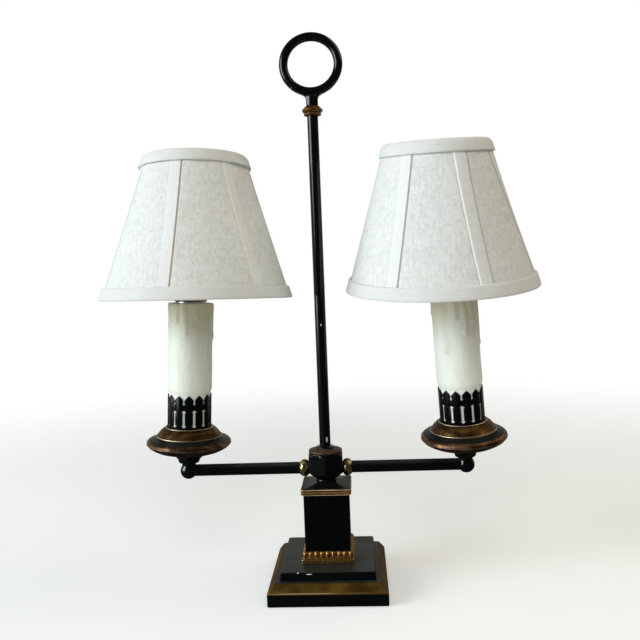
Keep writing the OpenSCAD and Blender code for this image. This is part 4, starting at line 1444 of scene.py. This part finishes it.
def bulbPieces(side):
    place, globeNode, collarNode = lampAxes[side], side + "_bulb_globe", side + "_bulb_collar"
    low, high = measure(globeNode, place)
    reach, steps = high.x, 24
    centre = high.z - reach
    neck = math.acos((low.z - centre) / reach)
    line = [(0, low.z)]
    for k in range(steps):
        up, out = onCircle(reach, neck * (1 - k / steps))
        line.append((out, centre + up))
    line.append((0, high.z))
    glass = [finishes["frosted_glass"]]
    globe = turned(side + "BulbGlobe", line, place, glass, 64, closed=False)
    wear(globe, side + "_bulb", "frosted_glass", globeNode)
    low, high = measure(collarNode, place)
    foot, head = (reachAt(collarNode, place, up) for up in (low.z, high.z))
    line = eased([
        (0, low.z),
        (foot, low.z, 0.4),
        (foot, low.z + 4, 2.2),
        (head, high.z),
        (0, high.z),
    ])

    # painted shadow: the collar's foot darkened for the shaded gap above the candle's top
    def shadowedFoot(start, end):
        return int(end[1] < low.z + 1.3)

    coats = [finishes["bulb_plastic"], collarShadow]
    collar = turned(side + "BulbCollar", line, place, coats, 64, closed=False, paint=shadowedFoot)
    wear(collar, side + "_bulb", "bulb_plastic", collarNode)


for side in sides:
    armPieces(side)
    panPieces(side)
    galleryPiece(side)
    waxSleeve(side)
    bulbPieces(side)
print("arms, pans and candles dressed")


# Shades: eight panels of linen drawn a little in between their seams.

shadeLook = {
    "panels": 8,
    "cloth": 0.8,
    "rows": 56,
    "between": 9,  # columns of cloth between two seams' own
    "bandWidth": 11.0,
    "ruffle": 0.22,
    "groove": 0.32,
    "bandThick": 0.3,
    "shift": 97,  # mm the weave moves on from panel to panel
}
seamOffsets = (0.0, 0.35, 0.8, 1.5, 3.0, 5.5, 8.0, 10.4, 11.0, 11.6, 12.6)  # mm from a seam
# azimuth at the foot and the top, side of the turned-in band (2 where it is doubled),
# stitching tone, and how far the panel after it is drawn in
seams = {
    "left": [
        (-149.6, -141, -1, (0.50, 0.49, 0.46), 1.6),
        (-92.6, -89.4, -1, (0.40, 0.32, 0.19), 1.5),
        (-40, -49.5, 1, (0.98, 0.95, 0.84), 4.5),
    ],
    "right": [
        (-122.5, -119.6, -1, (0.38, 0.35, 0.32), 1.3),
        (-74, -81.5, 2, (0.97, 0.95, 0.86), 1.0),
        (-18, -37.5, 1, (0.42, 0.37, 0.34), 1.0),
    ],
}
lastPanel = {"left": 45, "right": 62}  # degrees from the last seam behind to the first
hiddenSeam = ((0.6, 0.55, 0.46), 1.6)  # stitching tone and pull of those behind


def allSeams(side):  # the seams seen in front, and the rest spaced evenly behind
    front = seams[side]
    behind = shadeLook["panels"] - len(front)
    fromEnd, back = front[-1][:2], 360 - lastPanel[side]
    rest = []
    for k in range(1, behind + 1):
        foot, top = (
            between(a, b + back, k / behind) for a, b in zip(fromEnd, front[0][:2])
        )
        rest.append((foot, top, 1 if k < 3 else -1, *hiddenSeam))
    return front + rest


def clothColumns():  # (panel, off its first seam, off its second, share in between)
    columns, gaps = [], shadeLook["between"] + 1
    for panel in range(shadeLook["panels"]):
        columns += [(panel, d, None, None) for d in seamOffsets]
        columns += [(panel, None, None, k / gaps) for k in range(1, gaps)]
        columns += [(panel, None, d, None) for d in reversed(seamOffsets[1:])]
    return columns


def columnTurn(order, entry, reach, t):
    # azimuths of a panel's two seams and of a column in it, where the shade is that wide
    panel, past, short, share = entry
    last = len(order) - 1
    first, after = order[panel], order[(panel + 1) % len(order)]
    a = math.radians(between(first[0], first[1], t))
    b = math.radians(between(after[0], after[1], t) + (360 if panel == last else 0))
    if past is not None:
        return a, b, a + past / reach
    if short is not None:
        return a, b, b - short / reach
    edge = seamOffsets[-1] / reach
    return a, b, between(a + edge, b - edge, share)


def seamAt(order, panel, past, short):  # nearest seam, its tone, and its band if here
    nearFirst = past <= short
    seam = order[panel if nearFirst else (panel + 1) % len(order)]
    band = abs(seam[2]) / 2 if (seam[2] > 0) == nearFirst else 0.0
    return min(past, short), seam[3], band


def clothLift(t, past, short, half, band, pull, point):  # off the cone, in mm
    look = shadeLook
    share, near = (past - half) / half, min(past, short)
    pulled = pull * math.sin(math.pi * t) ** 0.9 * (1 - share * share)
    groove = look["groove"] * math.exp(-((near / 0.55) ** 2))
    plateau = look["bandThick"] * band / (1 + math.exp((near - look["bandWidth"]) * 6))
    uneven = noise.noise(point * 2.6) + 0.5 * noise.noise(point * 7.0)
    ruffle = look["ruffle"] * uneven * min(1, near / 6) * math.sin(math.pi * t) ** 0.4
    return plateau + ruffle - pulled - groove


def shadeCloth(side):
    clip, look, node = clipAxes[side], shadeLook, side + "_shade_fabric"
    low, high = measure(node, clip)
    centre, tall = (low.x + high.x) / 2, high.z - low.z
    place = clip @ Matrix.Translation((centre * mm, 0, low.z * mm))
    r0, r1 = reachAt(node, place, 0), reachAt(node, place, tall)
    slant = math.hypot(tall, r0 - r1)
    order, columns = allSeams(side), clothColumns()
    seed = Vector((sides[side] * 7.3, 2.2, 5.1))
    bm = bmesh.new()
    weaveMap, seamMap = bm.loops.layers.uv.new("weave"), bm.loops.layers.uv.new("seam")
    toneMap = bm.loops.layers.float_color.new("seamTone")
    loops, data = [], []
    for row in range(look["rows"] + 1):
        t = row / look["rows"]
        reach = between(r0, r1, t)
        loop, facts = [], []
        for entry in columns:
            a, b, turn = columnTurn(order, entry, reach, t)
            past, short, half = (turn - a) * reach, (b - turn) * reach, (b - a) * reach / 2
            band = seamAt(order, entry[0], past, short)[2]
            point = Vector((*onCircle(3, turn), t * 4)) + seed
            pull = order[entry[0]][4]
            across = reach + clothLift(t, past, short, half, band, pull, point)
            loop.append(bm.verts.new((*onCircle(across, turn), t * tall)))
            facts.append((entry[0], past, short, half))
        loops.append(loop)
        data.append(facts)
    for row in range(look["rows"]):
        for k in range(len(columns)):
            after = (k + 1) % len(columns)
            spots = ((row, k), (row, after), (row + 1, after), (row + 1, k))
            face = bm.faces.new([loops[r][c] for r, c in spots])
            panel = data[row][k][0]
            for corner, (r, c) in zip(face.loops, spots):
                own, past, short, half = data[r][c]
                if own != panel:  # the far edge of this panel is the next one's seam
                    past, short = 2 * half, 0.0
                nearSeam, tone, band = seamAt(order, panel, past, short)
                up = r / look["rows"] * slant * mm
                corner[weaveMap].uv = ((past - half + panel * look["shift"]) * mm, up)
                corner[seamMap].uv = (nearSeam * mm, up)
                corner[toneMap] = (*tone, band)
    coats = [finishes["shade_linen"], lining]
    cloth = addPiece(side + "ShadeLinen", bm, place, coats, sharp=180, closed=False)
    wall = cloth.modifiers.new("cloth", "SOLIDIFY")
    wall.thickness, wall.offset, wall.material_offset = look["cloth"] * mm, -1, 1
    settle(cloth)
    wear(cloth, side + "_shade", "shade_linen", node)
    return cloth, place, r0, r1, tall, slant


trimLook = {
    "around": 176,
    "tuck": 3.4,
    "roll": 0.45,
    "ruffle": 0.22,
    "joins": (-52, 128),  # where the tape's ends lap, in degrees
    "hoop": 2.0,
    "hoopGap": 0.35,
    "slack": 0.55,
    "lap": 0.35,
    "wave": 0.28,
}


def trimProfile(proud, deep, atTop):  # (out from the cone, up from the rim) points
    look, cloth = trimLook, shadeLook["cloth"]
    roll, tuck = look["roll"], look["tuck"]
    inside = cloth + look["hoopGap"] + look["hoop"] + look["slack"]
    face = [(0.35, 0.05), (0.8, -0.15), (0.98, -0.7)]  # share of the tape, below its edge
    front = [(proud * out, deep + up) for out, up in face]
    front += [(proud, deep * 0.75), (proud * 0.96, deep * 0.5)]
    if atTop:  # rolled further in over its hoop
        rim = [(0.95, deep * 0.3), (0.6, 1.1), (0.15, -roll * 0.2), (-0.3, -roll)]
    else:
        rim = [(1.0, deep * 0.25), (0.95, 0.7), (0.72, -roll * 0.5), (0.2, -roll)]
    return front + [(proud * out, up) for out, up in rim] + [
        (-inside * 0.5, -roll),
        (-inside * 0.86, -roll * 0.4),
        (-inside, 0.9),
        (-inside, tuck),
        (-inside + 0.6, tuck + 0.3),
        (-cloth - 0.25, tuck + 0.2),
        (-0.45, 1.2),
        (-0.3, deep - 0.4),
    ]


def foldedTrim(side, name, node, place, r0, r1, tall, atTop):
    # tape folded over the edge and its hoop; the top one is the mirror of the lower
    look = trimLook
    low, high = measure(node, place)
    slope, deep = (r1 - r0) / tall, high.z - low.z
    profile = trimProfile(high.x - (r0 + slope * low.z), deep, atTop)
    seed = Vector((sides[side] * 11, 4 if atTop else 9, 2))

    def spotAt(out, up, turn):
        point = Vector((*onCircle(3.5, turn), up * 0.12)) + seed
        if out > 0:  # the face is a little uneven, and lapped where its ends meet
            soft = look["ruffle"] * (noise.noise(point) + 0.6 * noise.noise(point * 3.1))
            out += soft * 0.8
            for join in look["joins"]:
                off = math.remainder(turn - math.radians(join), 2 * math.pi) * r0
                out += look["lap"] * math.exp(-((off / 1.6) ** 2))
        wave = noise.noise(Vector((*onCircle(4, turn), 7)) + seed)
        up += look["wave"] * wave * (up / deep)
        height = tall - up if atTop else up
        return (*onCircle(r0 + slope * height + out, turn), height)

    bm = bmesh.new()
    weaveMap = bm.loops.layers.uv.new("weave")
    turns = turnsRound(look["around"])
    loops = [[bm.verts.new(spotAt(*spot, turn)) for turn in turns] for spot in profile]
    lengths = [0.0]
    for (a, b), (c, d) in zip(profile, profile[1:] + profile[:1]):
        lengths.append(lengths[-1] + math.hypot(c - a, d - b))
    pitch = 2 * math.pi * (r1 if atTop else r0) / look["around"]
    for row, loop in enumerate(loops):
        upper = loops[(row + 1) % len(loops)]
        for k in range(look["around"]):
            after = (k + 1) % look["around"]
            face = bm.faces.new((loop[k], loop[after], upper[after], upper[k]))
            spots = ((k, row), (k + 1, row), (k + 1, row + 1), (k, row + 1))
            for corner, (c, r) in zip(face.loops, spots):
                corner[weaveMap].uv = (pitch * c * mm, lengths[r] * mm)
    bmesh.ops.recalc_face_normals(bm, faces=bm.faces)
    tape = [finishes["trim_linen"]]
    trim = addPiece(name, bm, place, tape, sharp=180, closed=False)
    return wear(trim, side + "_shade", "trim_linen", node)


for side in sides:
    cloth, place, r0, r1, tall, slant = shadeCloth(side)
    cone = (place, r0, r1, tall)
    upper = foldedTrim(side, side + "TopTrim", side + "_top_trim", *cone, True)
    lower = foldedTrim(side, side + "BottomTrim", side + "_bottom_trim", *cone, False)
    coneArea = math.pi * (r0 + r1) * slant * mm * mm
    2 * math.pi * r0 * mm
    slant * mm
print("shades sewn")


# Floor, light and camera.

roomLook = {
    "floor": (0.87, 0.87, 0.86),
    "floorLight": (0.9, 0.9, 0.89),
    "around": (1.0, 0.975, 0.88),
    "ambient": 0.15,  # how much the room lights
    "mirrored": (0.03, 0.47),  # in polished surfaces, in front and low behind
    "glow": 0.3,
    "floorMirrored": 0.05,
    "floorReach": 1.5,
    "fade": (0.30, 1.2),  # the floor melts into the white room between these
}


def paleFloor(plan):
    look = roomLook
    soft = plan.grain(3, rough=0.5)
    seen, shiny = (plan.add("ShaderNodeLightPath", out=k) for k in (0, 3))
    mirrored = [look["floorMirrored"]] * 3
    paint = plan.blend(soft, look["floor"], look["floorLight"])
    near, far = look["fade"]
    return {
        "Base Color": plan.blend(shiny, paint, mirrored),
        "Roughness": 0.7 + soft * 0.1,
        "Specular IOR Level": 0.1,
        "Emission Color": plan.blend(seen, (0, 0, 0), (1, 1, 1)),
        "Emission Strength": look["glow"],
        "Alpha": plan.step(plan.length(plan.spot()), far, near),
    }


def layFloor():
    bm = bmesh.new()
    reach = roomLook["floorReach"] / mm
    bmesh.ops.create_circle(bm, cap_ends=True, segments=96, radius=reach)
    paint = [finish("floorPaint", paleFloor)]
    addPiece("paleFloor", bm, Matrix(), paint, closed=False)


def whitenRoom():  # brighter where it is seen than as a light
    world = bpy.data.worlds.new("whiteRoom")
    scene.world = world
    world.use_nodes = True
    world.node_tree.nodes.clear()
    plan = Plan(world.node_tree)
    seen, shiny = (plan.add("ShaderNodeLightPath", out=k) for k in (0, 3))
    way = plan.add("ShaderNodeTexCoord")
    front, behind = roomLook["mirrored"]
    atBack = plan.step(plan.part(way, 1), 0.1, 0.6)
    lowBehind = atBack * plan.step(plan.part(way, 2), 0.62, 0.3)
    mirrored = lowBehind * (behind - front) + front
    lit = (1 - seen) * (1 - shiny) * roomLook["ambient"]
    strength = seen + shiny * mirrored + lit
    tone = plan.blend(seen, roomLook["around"], (1.0, 1.0, 1.0))
    look = {"Color": tone, "Strength": strength}
    sky = plan.add("ShaderNodeBackground", None, look)
    plan.add("ShaderNodeOutputWorld", None, {"Surface": sky})
    scene.view_settings.view_transform = "Standard"


lampLights = {
    "windowLight": {
        "at": (-2.06, -0.90, 0.80), "towards": (0, 0, 0.25), "size": (1.35, 1.5),
        "power": 52.0, "colour": (0.81, 0.92, 1.0), "inPolish": True,
    },
    "frontFill": {
        "at": (0.1, -1.5, 1.3), "towards": (0, 0, 0.22), "size": (1.0, 1.0),
        "power": 11.0, "colour": (1.0, 0.99, 0.96), "inPolish": False,
    },
    "ceilingGlow": {
        "at": (0.95, 0.0, 1.3), "towards": (0, 0, 0.2), "size": (1.0, 1.0),
        "power": 5.0, "colour": (1.0, 0.91, 0.64), "inPolish": True,
    },
}


def hangLights():
    for name, look in lampLights.items():
        data = bpy.data.lights.new(name, "AREA")
        data.shape, data.energy, data.color = "RECTANGLE", look["power"], look["colour"]
        data.size, data.size_y = look["size"]
        light = bpy.data.objects.new(name, data)
        light.location = look["at"]
        light.visible_glossy = look["inPolish"]
        way = Vector(look["towards"]) - Vector(look["at"])
        light.rotation_euler = way.to_track_quat("-Z", "Y").to_euler()
        scene.collection.objects.link(light)


cameraLook = {
    "at": (0.03294, -0.59248, 0.25933),
    "turn": 3.088,
    "roll": -2.206,
    "lens": 38.65,
    "sensor": 36,
    "shiftUp": -0.0616,
}


def setCamera():
    look = cameraLook
    turn, roll = math.radians(look["turn"]), math.radians(look["roll"])
    forward = Vector((-math.sin(turn), math.cos(turn), 0))
    level, plumb = Vector((math.cos(turn), math.sin(turn), 0)), Vector((0, 0, 1))
    right = level * math.cos(roll) + plumb * math.sin(roll)
    up = plumb * math.cos(roll) - level * math.sin(roll)
    place = Matrix((right, up, -forward)).transposed().to_4x4()
    place.translation = look["at"]
    data = bpy.data.cameras.new("photoCamera")
    data.lens, data.shift_y = look["lens"], look["shiftUp"]
    data.sensor_width, data.clip_start = look["sensor"], 0.01
    camera = bpy.data.objects.new("photoCamera", data)
    camera.matrix_world = place
    scene.collection.objects.link(camera)
    scene.camera = camera


layFloor()
whitenRoom()
hangLights()
setCamera()
print("room and camera ready")
